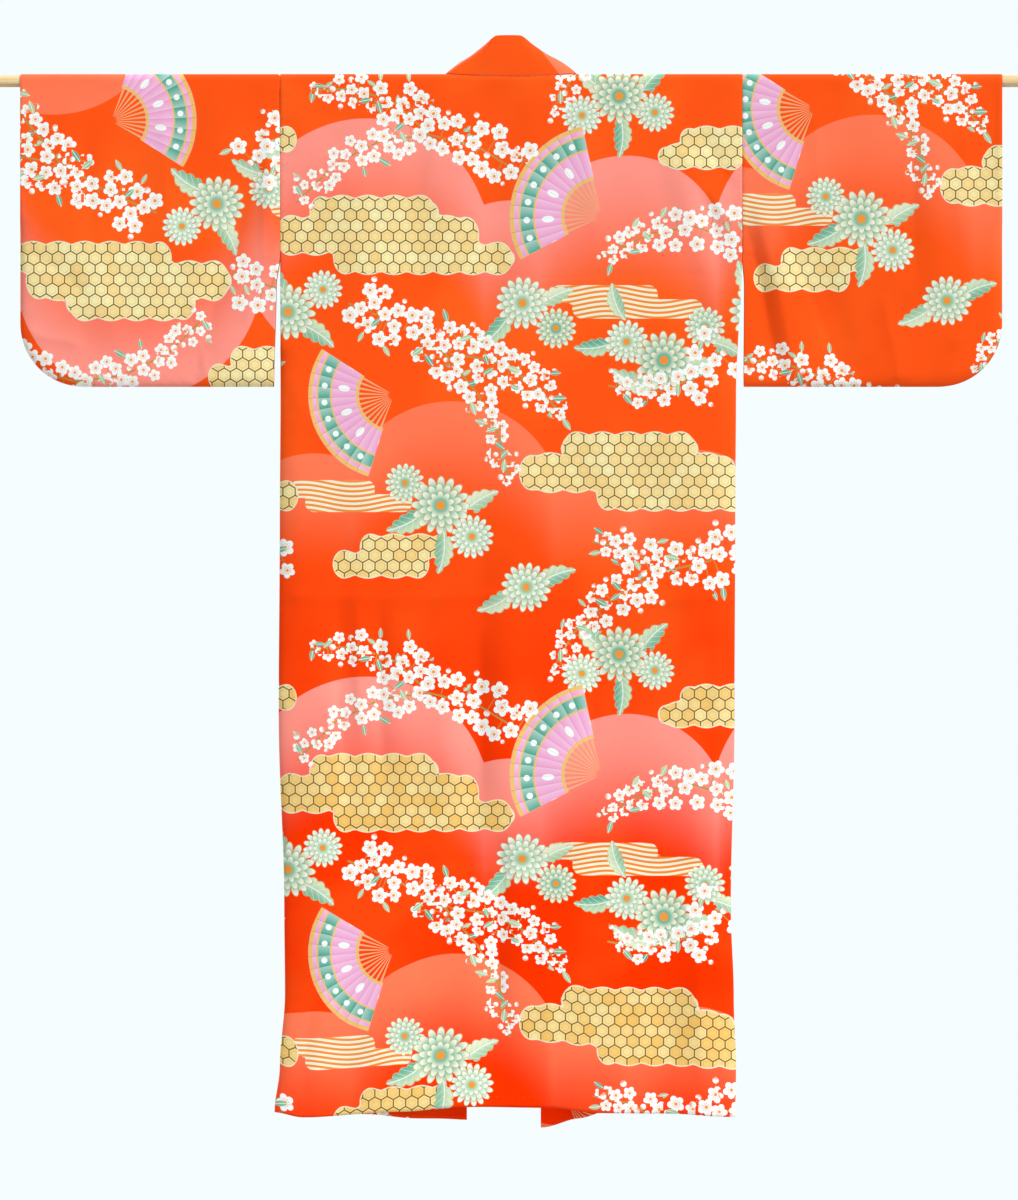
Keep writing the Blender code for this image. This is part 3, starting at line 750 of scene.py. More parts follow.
def body_drops(cloth, low=FOLD_RADIUS):
    """Drops of the rows, with one row at each place where a seam starts or ends."""
    stops = [FOLD_RADIUS, ARMHOLE_DROP, OVERLAP_DROP, OVERLAP_DROP + SEAM_GAP, SIDE_SEAM_DROP, FIRST_PRESS,
             COLLAR_END_DROP, COLLAR_END_DROP + SEAM_GAP, SECOND_PRESS, BODY_DROP]
    stops = [stop for stop in stops if stop >= low]
    drops = [drop for start, end in zip(stops, stops[1:]) for drop in evenly(start, end, cloth.spacing)]
    return np.array(drops + [BODY_DROP])


def fold_drops():
    """Drops of the rows from the top of the fold over the rod to its side."""
    angles = np.arange(FOLD_ROWS) / FOLD_ROWS * math.pi / 2
    return FOLD_RADIUS * (1.0 - np.cos(angles))


def soft_curve(at, knots, values):
    """A smooth curve through values at rising knots, which never overshoots them."""
    steps = np.diff(knots)
    slopes = np.diff(values, axis=0) / steps[:, None]
    tangents = np.zeros_like(values)
    ahead, behind = slopes[1:], slopes[:-1]
    same = ahead * behind > 0
    tangents[1:-1] = np.where(same, 2.0 * ahead * behind / np.where(same, ahead + behind, 1.0), 0.0)
    tangents[0], tangents[-1] = slopes[0], slopes[-1]
    index = np.clip(np.searchsorted(knots, at) - 1, 0, len(knots) - 2)
    step = steps[index][:, None]
    share = ((at - knots[index]) / steps[index])[:, None]
    low, high = values[index], values[index + 1]
    curve = (1 + 2 * share) * (1 - share) ** 2 * low + share ** 2 * (3 - 2 * share) * high
    leaving, coming = share * (1 - share) ** 2, share ** 2 * (1 - share)
    return curve + step * (leaving * tangents[index] - coming * tangents[index + 1])


# The print: where each motif lies

def wrapped(value, period):
    """The same place, counted from the nearest repeat."""
    return value - np.round(value / period) * period


def bar_distance(bars, u, v, sizes):
    """Distance from the outline of a stack of bars, minus inside."""
    nearest = np.full(u.shape, FAR)
    for left, right, drop, half_height in bars:
        across = np.abs(wrapped(u - (left + right) / 2, sizes.repeat_width)) - (right - left) / 2
        down = wrapped(v - drop, sizes.repeat_length)
        nearest = np.minimum(nearest, np.hypot(np.maximum(across, 0.0), down) - half_height)
    return nearest


def mist_depth(arcs, corners, sizes):
    """How far below a mist's upper edge each corner lies."""
    def edge(u):
        line = np.full(u.shape, FAR)
        for centre, drop, radius in arcs:
            across = wrapped(u - centre, sizes.repeat_width)
            inside = np.maximum(radius ** 2 - across ** 2, 0.0)
            line = np.minimum(line, np.where(inside > 0, drop - np.sqrt(inside), FAR))
        return line

    middle = corners.mean(axis=1)
    turns = np.floor((middle[:, 1] - edge(middle[:, 0]) + MIST_MARGIN) / sizes.repeat_length)
    return corners[..., 1] - edge(corners[..., 0]) - turns[:, None] * sizes.repeat_length


def along_bough(points, share):
    """A place on a bough's line, and the direction across it."""
    points = np.array(points)
    spans = np.hypot(*np.diff(points, axis=0).T)
    ends = np.concatenate([[0.0], np.cumsum(spans)]) / spans.sum()
    index = min(np.searchsorted(ends, share, side="right") - 1, len(spans) - 1)
    part = (share - ends[index]) / (ends[index + 1] - ends[index])
    step = (points[index + 1] - points[index]) / spans[index]
    return points[index] + (points[index + 1] - points[index]) * part, np.array([-step[1], step[0]])


def beside(spot, reach, turn):
    """The place at a distance and a turn from a spot."""
    return spot + reach * np.array([math.cos(math.radians(turn)), math.sin(math.radians(turn))])


def grow_boughs(sizes):
    """Blossoms, buds, leaves and twigs of one repeat, drawn with a fixed seed."""
    draw = random.Random(PRINT_SEED)
    blossoms, buds, twigs = [], [], []
    for points, count in zip(BOUGHS, BLOSSOM_COUNTS):
        for start, end in zip(points, points[1:]):
            twigs.append((*start, *end, BRANCH_HALF))
        for k in range(count):
            for attempt in range(BLOSSOM_TRIES):
                share = (k + draw.random()) / count
                place, across = along_bough(points, share)
                off = draw.uniform(-1.0, 1.0) * (BOUGH_SPREAD * (1.0 - 0.68 * share))
                spot = place + across * off
                radius = sizes.blossom * (1.04 - 0.42 * share ** 2) * draw.uniform(0.86, 1.06)
                room = min((math.dist(spot, other[:2]) - BLOSSOM_ROOM * (radius + other[2])
                            for other in blossoms), default=1.0)
                if room > 0:
                    break
            else:
                continue
            blossoms.append((*spot, radius, draw.uniform(0, 360), 0.02 + 0.9 * draw.random()))
            if abs(off) > SHORTEST_TWIG:
                twigs.append((*place, *spot, TWIG_HALF))
            if draw.random() < BUD_CHANCE:
                turn = draw.uniform(0, 360)
                tip = beside(spot, radius + draw.uniform(0.004, 0.008), turn)
                twigs.append((*spot, *tip, STALK_HALF))
                buds.append((*tip, draw.uniform(0.0030, 0.0046), turn, 1.02 + 0.9 * draw.random()))
            if draw.random() < LEAF_CHANCE:
                turn = draw.uniform(0, 360)
                tip = beside(spot, radius + LEAF_REACH, turn)
                buds.append((*tip, draw.uniform(0.0075, 0.0105), turn, 2.02 + 0.9 * draw.random()))
    return blossoms, buds, twigs


def copies(span, place, reach, sizes):
    """The shift of each repeat at which a motif touches a piece."""
    periods = np.array([sizes.repeat_width, sizes.repeat_length])
    first = np.ceil((span[0] - reach - place) / periods)
    last = np.floor((span[1] + reach - place) / periods)
    for across in np.arange(first[0], last[0] + 1):
        for down in np.arange(first[1], last[1] + 1):
            yield periods * (across, down)


def is_clear(place, clear):
    """Whether a place lies in a stretch of cloth that is kept free of motifs."""
    return clear is not None and clear[0] < place[1] < clear[1]


def stamp(corners, motifs, cell, sizes, clear):
    """Give each face at most two motifs, the first ones on top.

    Each level holds a corner's place in the motif, in units of its radius, and
    the motif's kind.
    """
    levels = [np.full(corners.shape[:2] + (3,), FAR) for level in range(2)]
    used = np.zeros(len(corners), int)
    middle = corners.mean(axis=1)
    span = middle.min(axis=0), middle.max(axis=0)
    for u, v, radius, turn, kind in motifs:
        cos, sin = math.cos(math.radians(turn)), math.sin(math.radians(turn))
        reach = radius + cell
        for shift in copies(span, (u, v), reach, sizes):
            centre = shift + (u, v)
            if is_clear(centre, clear):
                continue
            near = np.flatnonzero((((middle - centre) ** 2).sum(axis=1) < reach ** 2) & (used < 2))
            local = (corners[near] - centre) / radius
            turned = np.stack([local[..., 0] * cos + local[..., 1] * sin,
                               local[..., 1] * cos - local[..., 0] * sin,
                               np.full(local.shape[:2], kind)], axis=-1)
            for level, values in enumerate(levels):
                chosen = used[near] == level
                values[near[chosen]] = turned[chosen]
            used[near] += 1
    return levels


def stamp_twigs(corners, twigs, cell, sizes, clear):
    """Each corner's distance from the nearest twig's line, in the twig's half widths."""
    offsets = np.full(corners.shape[:2], FAR * FAR)
    middle = corners.mean(axis=1)
    best = np.full(len(corners), cell)
    span = middle.min(axis=0), middle.max(axis=0)
    for u0, v0, u1, v1, half_width in twigs:
        step = np.array([u1 - u0, v1 - v0])
        size = max(np.hypot(*step), SHORTEST)
        step /= size
        reach = size / 2 + cell
        for shift in copies(span, ((u0 + u1) / 2, (v0 + v1) / 2), reach, sizes):
            start = shift + (u0, v0)
            if is_clear(start, clear):
                continue
            near = np.flatnonzero(((middle - start - step * size / 2) ** 2).sum(axis=1) < reach ** 2)
            away = middle[near] - start
            share = np.clip(away @ step, 0.0, size)
            distance = np.hypot(*(away - share[:, None] * step).T)
            closer = distance < best[near]
            chosen = near[closer]
            best[chosen] = distance[closer]
            away = corners[chosen] - start
            offsets[chosen] = (away[..., 0] * step[1] - away[..., 1] * step[0]) / half_width
    return offsets


def print_layers(corners, sizes, cell, clear):
    """All that the print's shader reads on a piece, for each corner of each face."""
    blossoms, buds, twigs = grow_boughs(sizes)
    bloom = stamp(corners, buds[::2] + blossoms + buds[1::2], cell, sizes, clear)
    large = stamp(corners, LARGE_MOTIFS, cell, sizes, clear)
    u, v = corners[..., 0], corners[..., 1]
    lobes = LOBE_DEPTH * np.abs(np.sin(u * math.pi * LOBES / sizes.repeat_width))
    clouds = bar_distance(CLOUD_BARS, u, v, sizes) - lobes
    streams = bar_distance(STREAM_BARS, u, v, sizes)
    mists = [mist_depth(arcs, corners, sizes) for arcs in (MIST_HIGH, MIST_LOW)]
    branches = stamp_twigs(corners, twigs, cell, sizes, clear)
    fields = np.stack([*mists, clouds], axis=-1)
    lines = np.stack([streams, branches, np.zeros(u.shape)], axis=-1)
    return {"bloom_top": bloom[0], "bloom_under": bloom[1], "large_top": large[0],
            "large_under": large[1], "fields": fields, "lines": lines}


# Meshes of the cloth

def add_object(name, data):
    """A new object in the scene."""
    made = bpy.data.objects.new(name, data)
    bpy.context.scene.collection.objects.link(made)
    return made


def sheet_mesh(name, points, prints, keep=None, flip=False):
    """A mesh of one layer of cloth through rows of points, and its corners' places on the print."""
    rows, columns = points.shape[:2]
    index = np.arange(rows * columns).reshape(rows, columns)
    corners = [index[:-1, :-1], index[1:, :-1], index[1:, 1:], index[:-1, 1:]]
    if flip:
        corners = corners[::-1]
    faces = np.stack([corner.ravel() for corner in corners], axis=1)
    if keep is not None:
        faces = faces[keep.ravel()]
    used, flat = np.unique(faces, return_inverse=True)
    faces = flat.reshape(faces.shape)
    places = prints.reshape(-1, 2)[used][faces]
    rows_at, columns_at = np.divmod(used, columns)
    shares = np.stack([columns_at / (columns - 1), 1.0 - rows_at / (rows - 1)], axis=1)[faces]

    mesh = bpy.data.meshes.new(name)
    mesh.from_pydata(points.reshape(-1, 3)[used].tolist(), [], faces.tolist())
    for label, values in (("cloth", places), ("OFBake", shares * BAKE_AREA + BAKE_EDGE)):
        layer = mesh.uv_layers.new(name=label)
        layer.data.foreach_set("uv", values.ravel().astype(np.float32))
    return mesh, places


def plain_mesh(made):
    """Turn an object with modifiers into one with a plain mesh."""
    graph = bpy.context.evaluated_depsgraph_get()
    mesh = bpy.data.meshes.new_from_object(made.evaluated_get(graph), preserve_all_data_layers=True,
                                           depsgraph=graph)
    old = made.data
    made.modifiers.clear()
    made.data = mesh
    mesh.name = made.name
    if old.users == 0:
        bpy.data.meshes.remove(old)


def thicken(made, thickness):
    """Give a layer of cloth its wall. The reverse gets its own material and half of the bake map."""
    shell = made.modifiers.new("Thickness", "SOLIDIFY")
    shell.thickness = thickness
    shell.offset = 0.0
    shell.use_even_offset = True
    shell.thickness_clamp = 1.0
    shell.material_offset = 1
    plain_mesh(made)
    mesh = made.data
    sides = np.zeros(len(mesh.polygons), int)
    mesh.polygons.foreach_get("material_index", sides)
    bake_map = mesh.uv_layers["OFBake"]
    uv = np.zeros(len(mesh.loops) * 2, np.float32)
    bake_map.data.foreach_get("uv", uv)
    uv = uv.reshape(-1, 2)
    uv[np.repeat(sides, 4) == 1, 0] += BAKE_REVERSE
    bake_map.data.foreach_set("uv", uv.ravel())


def make_piece(cloth, sizes, node, points, prints,
               wall_share=1.0, keep=None, flip=False, merge=False, clear=None):
    """A cloth piece through rows of points, in place of a CAD node."""
    name = f"cloth_{node}"
    mesh, places = sheet_mesh(name, points, prints, keep, flip)
    for label, values in print_layers(places, sizes, cloth.spacing, clear).items():
        layer = mesh.attributes.new(name=label, type="FLOAT_VECTOR", domain="CORNER")
        layer.data.foreach_set("vector", values.ravel().astype(np.float32))
    made = add_object(name, mesh)
    if merge:
        bm = bmesh.new()
        bm.from_mesh(mesh)
        bmesh.ops.remove_doubles(bm, verts=bm.verts, dist=MERGE)
        bm.to_mesh(mesh)
        bm.free()
    mesh.shade_smooth()
    mesh.materials.append(cloth_material("cloth_print", 0.0))
    mesh.materials.append(cloth_material("cloth_reverse", REVERSE_FADE))
    thicken(made, cloth.wall * wall_share)
    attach(made, "root")
    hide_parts(node)


def back_columns(cloth, drop):
    """x places across the back at each drop, with columns at the neck's corners."""
    drop = np.asarray(drop)[:, None]
    parts = []
    for side in (LEFT, RIGHT):
        half = body_half(np.full(drop.shape, float(side)), drop)
        width = half - NECK_HALF
        spacing = cloth.spacing / (HALF_BODY - NECK_HALF - SEAM_STEPS[-1])
        middle = NECK_HALF + (width - SEAM_STEPS[-1]) * np.array(evenly(0.0, 1.0, spacing) + [1.0])
        seam = half - np.array(SEAM_STEPS[-2::-1])
        parts.append(side * np.concatenate([middle, seam], axis=1))
    neck = np.array(evenly(-NECK_HALF, NECK_HALF, cloth.spacing)[1:])
    neck = np.broadcast_to(neck, (len(drop), len(neck)))
    return np.concatenate([parts[0][:, ::-1], neck, parts[1]], axis=1)


def make_back(cloth, sizes):
    """The back, from its neckline over the rod and down to the hem."""
    lower = body_drops(cloth)
    top_x = back_columns(cloth, [0.0])[0]
    first = neck_angle(top_x)
    shares = np.arange(FOLD_ROWS) / FOLD_ROWS
    angles = first + (math.pi / 2 - first) * shares[:, None]
    fold = FOLD_RADIUS * (1.0 - np.cos(angles))
    x = np.concatenate([np.broadcast_to(top_x, fold.shape), back_columns(cloth, lower)])
    drop = np.concatenate([fold, np.broadcast_to(lower[:, None], (len(lower), x.shape[1]))])
    below_neck = np.concatenate([angles - first, np.full((len(lower), x.shape[1]), FAR)]) * FOLD_RADIUS
    groove = -NECK_GROOVE * np.exp(-below_neck / NECK_GROOVE_REACH)
    points = body_point(cloth, BACK, None, x, drop, np.where(np.abs(x) < NECK_HALF, groove, 0.0))
    prints = np.stack([x, drop], axis=-1) + BACK_START
    make_piece(cloth, sizes, "back", points, prints)


def side_columns(cloth, side, drop, inner):
    """x places from the seam at a front's inner edge out to its side seam."""
    drop = np.asarray(drop)[:, None]
    inner = inner[:, None]
    half = body_half(np.full(drop.shape, float(side)), drop)
    near = np.array(SEAM_STEPS[:5])
    steps = np.array(evenly(0.0, 1.0, cloth.spacing / FRONT_WIDTH) + [1.0])
    middle = inner + near[-1] + (half - inner - SEAM_STEPS[-1] - near[-1]) * steps
    parts = [inner + near[:-1], middle, half - np.array(SEAM_STEPS[-2::-1])]
    return side * np.concatenate(parts, axis=1)


def make_front(cloth, sizes, side):
    """A front, from the shoulder to the hem, with its inner edge along two seams."""
    drops = np.concatenate([fold_drops(), body_drops(cloth)])
    inner = np.where(drops > OVERLAP_DROP, overlap_seam_half(side, drops), collar_seam_half(side, drops))
    x = side_columns(cloth, side, drops, inner)
    drop = np.broadcast_to(drops[:, None], x.shape)
    seam = seam_height(cloth, np.abs(x) - inner[:, None], drop) * smooth(drop / INNER_SEAM_START)
    points = body_point(cloth, FRONT, side, x, drop, seam)
    prints = np.stack([-x, drop], axis=-1) + FRONT_START[side]
    make_piece(cloth, sizes, f"front_{SIDE_NAMES[side]}", points, prints,
               flip=side == RIGHT)


def make_overlap(cloth, sizes, side):
    """An overlap, beside the collar down to its end and as far as the free edge below it."""
    drops = body_drops(cloth, OVERLAP_DROP + SEAM_GAP)
    collar_end = COLLAR_END_DROP + SEAM_GAP / 2
    seam = (overlap_seam_half(side, drops) - SEAM_GAP)[:, None]
    collar = collar_seam_half(side, drops)[:, None]
    edge = edge_half(side, drops)[:, None]
    near_seam = np.array(SEAM_STEPS[:4]) / COLLAR_WIDTH
    across = np.concatenate([near_seam, evenly(0.09, 0.985, cloth.spacing / OVERLAP_WIDTH), [0.985, 1.0]])
    below = np.array(evenly(0.0, 1.0, cloth.spacing / COLLAR_WIDTH)[1:] + [0.97, 1.0])
    x = side * np.concatenate([seam + (collar - seam) * across, collar + (edge - collar) * below], axis=1)
    drop = np.broadcast_to(drops[:, None], x.shape)
    extra = seam_height(cloth, seam - np.abs(x), drop)
    by_collar = seam_height(cloth, np.maximum(np.abs(x) - collar, 0.0), drop + 0.4)
    points = body_point(cloth, FRONT, side, x, drop, extra + np.where(drop < collar_end, by_collar, 0.0))
    prints = np.stack([-x, drop], axis=-1) + FRONT_START[side]
    keep = np.ones((x.shape[0] - 1, x.shape[1] - 1), bool)
    keep[drops[:-1] < collar_end, len(across) - 1:] = False
    name = SIDE_NAMES[side]
    make_piece(cloth, sizes, f"overlap_{name}", points, prints,
               keep=keep, flip=side == LEFT)


def lifted(points):
    """Move points of a front out by the collar's lift."""
    radial = points * (0.0, 1.0, 1.0)
    radial = radial * (COLLAR_LIFT / np.maximum(np.linalg.norm(radial, axis=1), SHORTEST))[:, None]
    level = np.array([0.0, COLLAR_LIFT, 0.0])
    return points + np.where(points[:, 2:] > 0, radial, level)


def collar_stations(cloth, side):
    """Seam and edge points of one side of the collar, from its lower end to the shoulder."""
    def on_front(half, drops):
        return lifted(body_point(cloth, FRONT, side, side * half, drops))

    drops = np.linspace(COLLAR_END_DROP, COLLAR_FREE_DROP, COLLAR_STATIONS)
    seams = on_front(collar_seam_half(side, drops) - SEAM_GAP, drops)
    edges = on_front(edge_half(side, drops), drops)
    table = np.array(COLLAR_SIDE[::-1])
    more = on_front(collar_seam_half(side, table[:, 0]) - COLLAR_GAP, table[:, 0])
    return np.concatenate([seams, more]), np.concatenate([edges, table[:, 1:] * (side, 1, 1)])


def collar_neck_stations(side, table):
    """Seam and edge points beside the back's neckline."""
    x = side * np.array([row[0] for row in table]) * NECK_HALF
    angle = neck_angle(x) - COLLAR_GAP / FOLD_RADIUS
    radius = FOLD_RADIUS + COLLAR_LIFT
    seams = np.stack([x, -radius * np.sin(angle), radius * np.cos(angle)], axis=1)
    return seams, np.array([row[1:] for row in table]) * (side, 1, 1)


def collar_lines(cloth):
    """The collar's seam and free edge, all along the band, and the length along it."""
    left, right = collar_stations(cloth, LEFT), collar_stations(cloth, RIGHT)
    parts = [left, collar_neck_stations(LEFT, COLLAR_BACK[LEFT][::-1]),
             collar_neck_stations(RIGHT, (COLLAR_BACK_CENTRE,)),
             collar_neck_stations(RIGHT, COLLAR_BACK[RIGHT]), (right[0][::-1], right[1][::-1])]
    seams = np.concatenate([part[0] for part in parts])
    edges = np.concatenate([part[1] for part in parts])
    spans = np.linalg.norm(np.diff((seams + edges) / 2, axis=0), axis=1)
    knots = np.concatenate([[0.0], np.cumsum(spans)])
    at = np.array(evenly(0.0, knots[-1], cloth.spacing) + [knots[-1]])
    return soft_curve(at, knots, seams), soft_curve(at, knots, edges), at


def band_outward(seams, across):
    """The direction in which the band bulges, square to it and evened out along it."""
    none = np.zeros(len(seams))
    out = np.stack([none, seams[:, 1], np.maximum(seams[:, 2], 0)], axis=1)
    out -= across * ((out * across).sum(axis=1) / (across * across).sum(axis=1))[:, None]
    for passes in range(3):
        out[1:-1] = (out[:-2] + 2 * out[1:-1] + out[2:]) / 4
    return out / np.linalg.norm(out, axis=1)[:, None]


def make_collar(cloth, sizes):
    """The collar: a band folded double along its free edge."""
    seams, edges, at = collar_lines(cloth)
    across = edges - seams
    out = band_outward(seams, across)
    edge_way = across / np.linalg.norm(across, axis=1)[:, None]
    half = (cloth.band - cloth.wall) / 2
    wave = 0.00022 * np.sin(at * 150.0 + 1.6 * np.sin(at * 23.0)) + 0.0003 * np.sin(at * 41.0)
    columns, places = [], []

    def add(share, height, past, reach):
        bulge = COLLAR_BULGE * math.sin(math.pi * share) + height
        uneven = wave * (0.35 + 0.65 * abs(math.cos(math.pi * share)))
        columns.append(seams + across * share + out * (bulge + uneven)[:, None] + edge_way * past)
        places.append(np.stack([np.full(len(at), reach), at], axis=1) + COLLAR_START)

    shares = np.concatenate([[0.0, 0.012, 0.035, 0.07], evenly(0.11, 0.985, 0.075), [0.985]])
    for share in shares:
        add(share, half, 0.0, COLLAR_WIDTH * share)
    for turned in np.radians((0.0, 36.0, 72.0, 108.0, 144.0, 180.0)):
        add(1.0, half * math.cos(turned), half * math.sin(turned), COLLAR_WIDTH + half * turned)
    for share in shares[::-1]:
        add(share, -half, 0.0, COLLAR_WIDTH * (2.0 - share) + half * math.pi)
    nape = at[-1] / 2 + COLLAR_START[1]
    make_piece(cloth, sizes, "collar", np.stack(columns, axis=1), np.stack(places, axis=1),
               wall_share=COLLAR_WALL_SHARE, clear=(nape - NAPE_HALF, nape + NAPE_HALF))


def sleeve_drops(spacing):
    """Drops of a sleeve's rows, closer together at its sewn bottom."""
    corner_top = SLEEVE_DROP - SLEEVE_CORNER
    drops = list(fold_drops())
    stops = (FOLD_RADIUS, CUFF_DROP - CUFF_EASE, CUFF_DROP, ARMHOLE_DROP, corner_top)
    for start, end in zip(stops, stops[1:]):
        drops += evenly(start, end, spacing)
    turns = [math.pi / 2 * k / CORNER_ROWS for k in range(CORNER_ROWS + 1)]
    return np.array(drops + [corner_top + SLEEVE_CORNER * math.sin(turn) for turn in turns])


def make_sleeve(cloth, sizes, side):
    """A sleeve: one piece over the rod, from its sewn bottom at the front to that at the back."""
    spacing = cloth.spacing * SLEEVE_FINENESS
    width = HALF_SPAN - HALF_BODY
    seam, edge = np.array(SEAM_STEPS[:6]) / width, np.array(EDGE_STEPS) / width
    shares = np.concatenate([seam[:-1], evenly(seam[-1], 1 - edge[-1], spacing / width), 1 - edge[::-1]])
    share, drop = np.broadcast_arrays(shares, sleeve_drops(spacing)[:, None])
    front, back = (sleeve_point(cloth, side, layer, share, drop) for layer in (FRONT, BACK))
    points = np.concatenate([front[::-1], back[1:]])
    down = np.concatenate([-drop[::-1], drop[1:]])
    prints = np.stack([np.abs(points[..., 0]) - HALF_BODY, side * down], axis=-1) + SLEEVE_START[side]
    make_piece(cloth, sizes, f"sleeve_{SIDE_NAMES[side]}", points, prints,
               flip=side == LEFT, merge=True)


# Materials

class Wires:
    """Adds nodes to a tree and links them. A value is a number, a tuple, a colour or a socket."""

    def __init__(self, tree):
        self.tree = tree

    def node(self, kind, inputs=(), **settings):
        """A new node. Its inputs are given by name or by number."""
        made = self.tree.nodes.new(kind)
        for key, value in settings.items():
            setattr(made, key, value)
        for name, value in dict(inputs).items():
            self.feed(made.inputs[name], value)
        return made

    def feed(self, socket, value):
        """Link a socket to an input, or set the input's own value."""
        if isinstance(value, bpy.types.NodeSocket):
            self.tree.links.new(value, socket)
        else:
            socket.default_value = value

    def shade(self, inputs):
        """Feed the inputs of the material's shader."""
        for name, value in inputs.items():
            self.feed(self.tree.nodes["Principled BSDF"].inputs[name], value)

    def math(self, operation, *values):
        """The result of a sum on values."""
        return self.node("ShaderNodeMath", dict(enumerate(values)), operation=operation).outputs[0]

    def vector(self, operation, *values):
        """The result of a sum on vectors."""
        made = self.node("ShaderNodeVectorMath", dict(enumerate(values)), operation=operation)
        return made.outputs["Vector"]

    def size(self, vector):
        """The length of a vector."""
        return self.node("ShaderNodeVectorMath", {0: vector}, operation="LENGTH").outputs["Value"]

    def off(self, value, middle):
        """How far a value lies from the middle one."""
        return self.math("ABSOLUTE", self.math("SUBTRACT", value, middle))

    def step(self, value, low, high):
        """Rise softly from 0 at low to 1 at high; low may be the larger one."""
        inputs = {"Value": value, "From Min": low, "From Max": high}
        return self.node("ShaderNodeMapRange", inputs, interpolation_type="SMOOTHSTEP").outputs["Result"]

    def mix(self, share, low, high):
        """A colour on the way from low to high."""
        return self.node("ShaderNodeMix", {0: share, 6: low, 7: high}, data_type="RGBA").outputs[2]

    def parts(self, vector):
        """The x, y and z of a vector."""
        return self.node("ShaderNodeSeparateXYZ", {"Vector": vector}).outputs

    def join(self, x, y, z=0.0):
        """A vector from its x, y and z."""
        return self.node("ShaderNodeCombineXYZ", {"X": x, "Y": y, "Z": z}).outputs[0]

    def both(self, first, second):
        """The product of two values, so of two masks what both cover."""
        return self.math("MULTIPLY", first, second)

    def either(self, first, second):
        """The larger of two values, so of two masks what either covers."""
        return self.math("MAXIMUM", first, second)

    def noise(self, place, scale, detail, roughness=0.5, dimensions="2D"):
        """Soft uneven values round 0.5."""
        inputs = {"Vector": place, "Scale": scale, "Detail": detail, "Roughness": roughness}
        return self.node("ShaderNodeTexNoise", inputs, noise_dimensions=dimensions).outputs["Fac"]

    def bump(self, strength, distance, height):
        """Normals that follow a height."""
        inputs = {"Strength": strength, "Distance": distance, "Height": height}
        return self.node("ShaderNodeBump", inputs).outputs["Normal"]

    def object_place(self):
        """The place in the object's own sizes."""
        return self.node("ShaderNodeTexCoord").outputs["Object"]

    def cloth_map(self):
        """The place on the printed cloth."""
        return self.node("ShaderNodeUVMap", uv_map="cloth").outputs["UV"]

    def layer(self, name):
        """A layer of the print that is stored on the cloth."""
        made = self.node("ShaderNodeAttribute", attribute_type="GEOMETRY", attribute_name=name)
        return made.outputs["Vector"]


def petals(w, radius, turn, count, middle, reach, width, shift=0.0):
    """Depth in a ring of petals, round the middle of a motif."""
    return use_group(w, "Petal ring", Radius=radius, Turn=turn, Count=count, Middle=middle, Reach=reach,
                     Width=width, Shift=shift)["Depth"]


def polar(w, place):
    """Distance from the middle, turn from 0 to 1, x, y and kind of a motif's place."""
    x, y, kind = w.parts(place)
    turn = w.math("ADD", w.math("DIVIDE", w.math("ARCTAN2", y, x), 2 * math.pi), 0.5)
    return w.size(w.join(x, y)), turn, x, y, kind


def by_kind(w, kind, motifs):
    """One of several motifs, by the kind of the place. Each motif is its colour and its mask."""
    shown, covered = motifs[0][0], 0.0
    for number, (shade, mask) in enumerate(motifs):
        here = w.both(mask, w.math("COMPARE", kind, number + 0.5, 0.5))
        shown = w.mix(here, shown, shade)
        covered = w.either(covered, here)
    return {"Colour": shown, "Mask": covered}


def draw_petal_ring(w, given):
    """A ring of equal petals. Depth is 1 in a petal's middle and 0 on its outline."""
    turns = w.math("MULTIPLY_ADD", given["Turn"], given["Count"], given["Shift"])
    part = w.math("SUBTRACT", w.math("FRACT", turns), 0.5)
    angle = w.math("DIVIDE", w.both(part, 2 * math.pi), given["Count"])
    along = w.math("SUBTRACT", w.both(given["Radius"], w.math("COSINE", angle)), given["Middle"])
    beside = w.both(given["Radius"], w.math("SINE", angle))
    place = w.join(w.math("DIVIDE", along, given["Reach"]), w.math("DIVIDE", beside, given["Width"]))
    return {"Depth": w.math("SUBTRACT", 1.0, w.size(place))}


def draw_blossom(w, sizes, radius, turn):
    """A five-petal blossom with its stamens."""
    ring = petals(w, radius, turn, 5.0, 0.55, 0.45, 0.40)
    stamens = petals(w, radius, turn, 10.0, 0.42, 0.10, 0.05)
    heart_shade = w.both(w.step(radius, 0.60, 0.20), 0.26)
    edge_shade = w.both(w.step(ring, 0.16, 0.03), 0.28)
    shown = w.mix(w.either(heart_shade, edge_shade), sizes.white, sizes.blush)
    shown = w.mix(w.both(w.step(stamens, 0.0, 0.2), 0.75), shown, sizes.amber)
    shown = w.mix(w.step(radius, 0.22, 0.14), shown, sizes.amber)
    return shown, w.either(w.step(ring, 0.0, 0.07), w.step(radius, 0.42, 0.36))


def draw_small_leaf(w, sizes, x, y, tint):
    """A small leaf with a pale middle line."""
    beside = w.math("ABSOLUTE", y)
    lens = w.math("SUBTRACT", w.math("MULTIPLY_ADD", w.both(x, x), -0.40, 0.40), beside)
    shown = w.mix(tint, sizes.celadon, sizes.teal)
    shown = w.mix(w.step(beside, 0.07, 0.03), shown, sizes.cream)
    return shown, w.step(lens, 0.0, 0.06)


def draw_small_motif(w, given):
    """A blossom, a bud or a small leaf, by the place's kind."""
    sizes = bpy.context.scene.kimono_print
    radius, turn, x, y, kind = polar(w, given["Place"])
    bud = w.mix(w.step(x, -0.2, 0.8), sizes.white, sizes.blush), w.step(radius, 1.0, 0.88)
    leaf = draw_small_leaf(w, sizes, x, y, w.math("FRACT", kind))
    return by_kind(w, kind, (draw_blossom(w, sizes, radius, turn), bud, leaf))


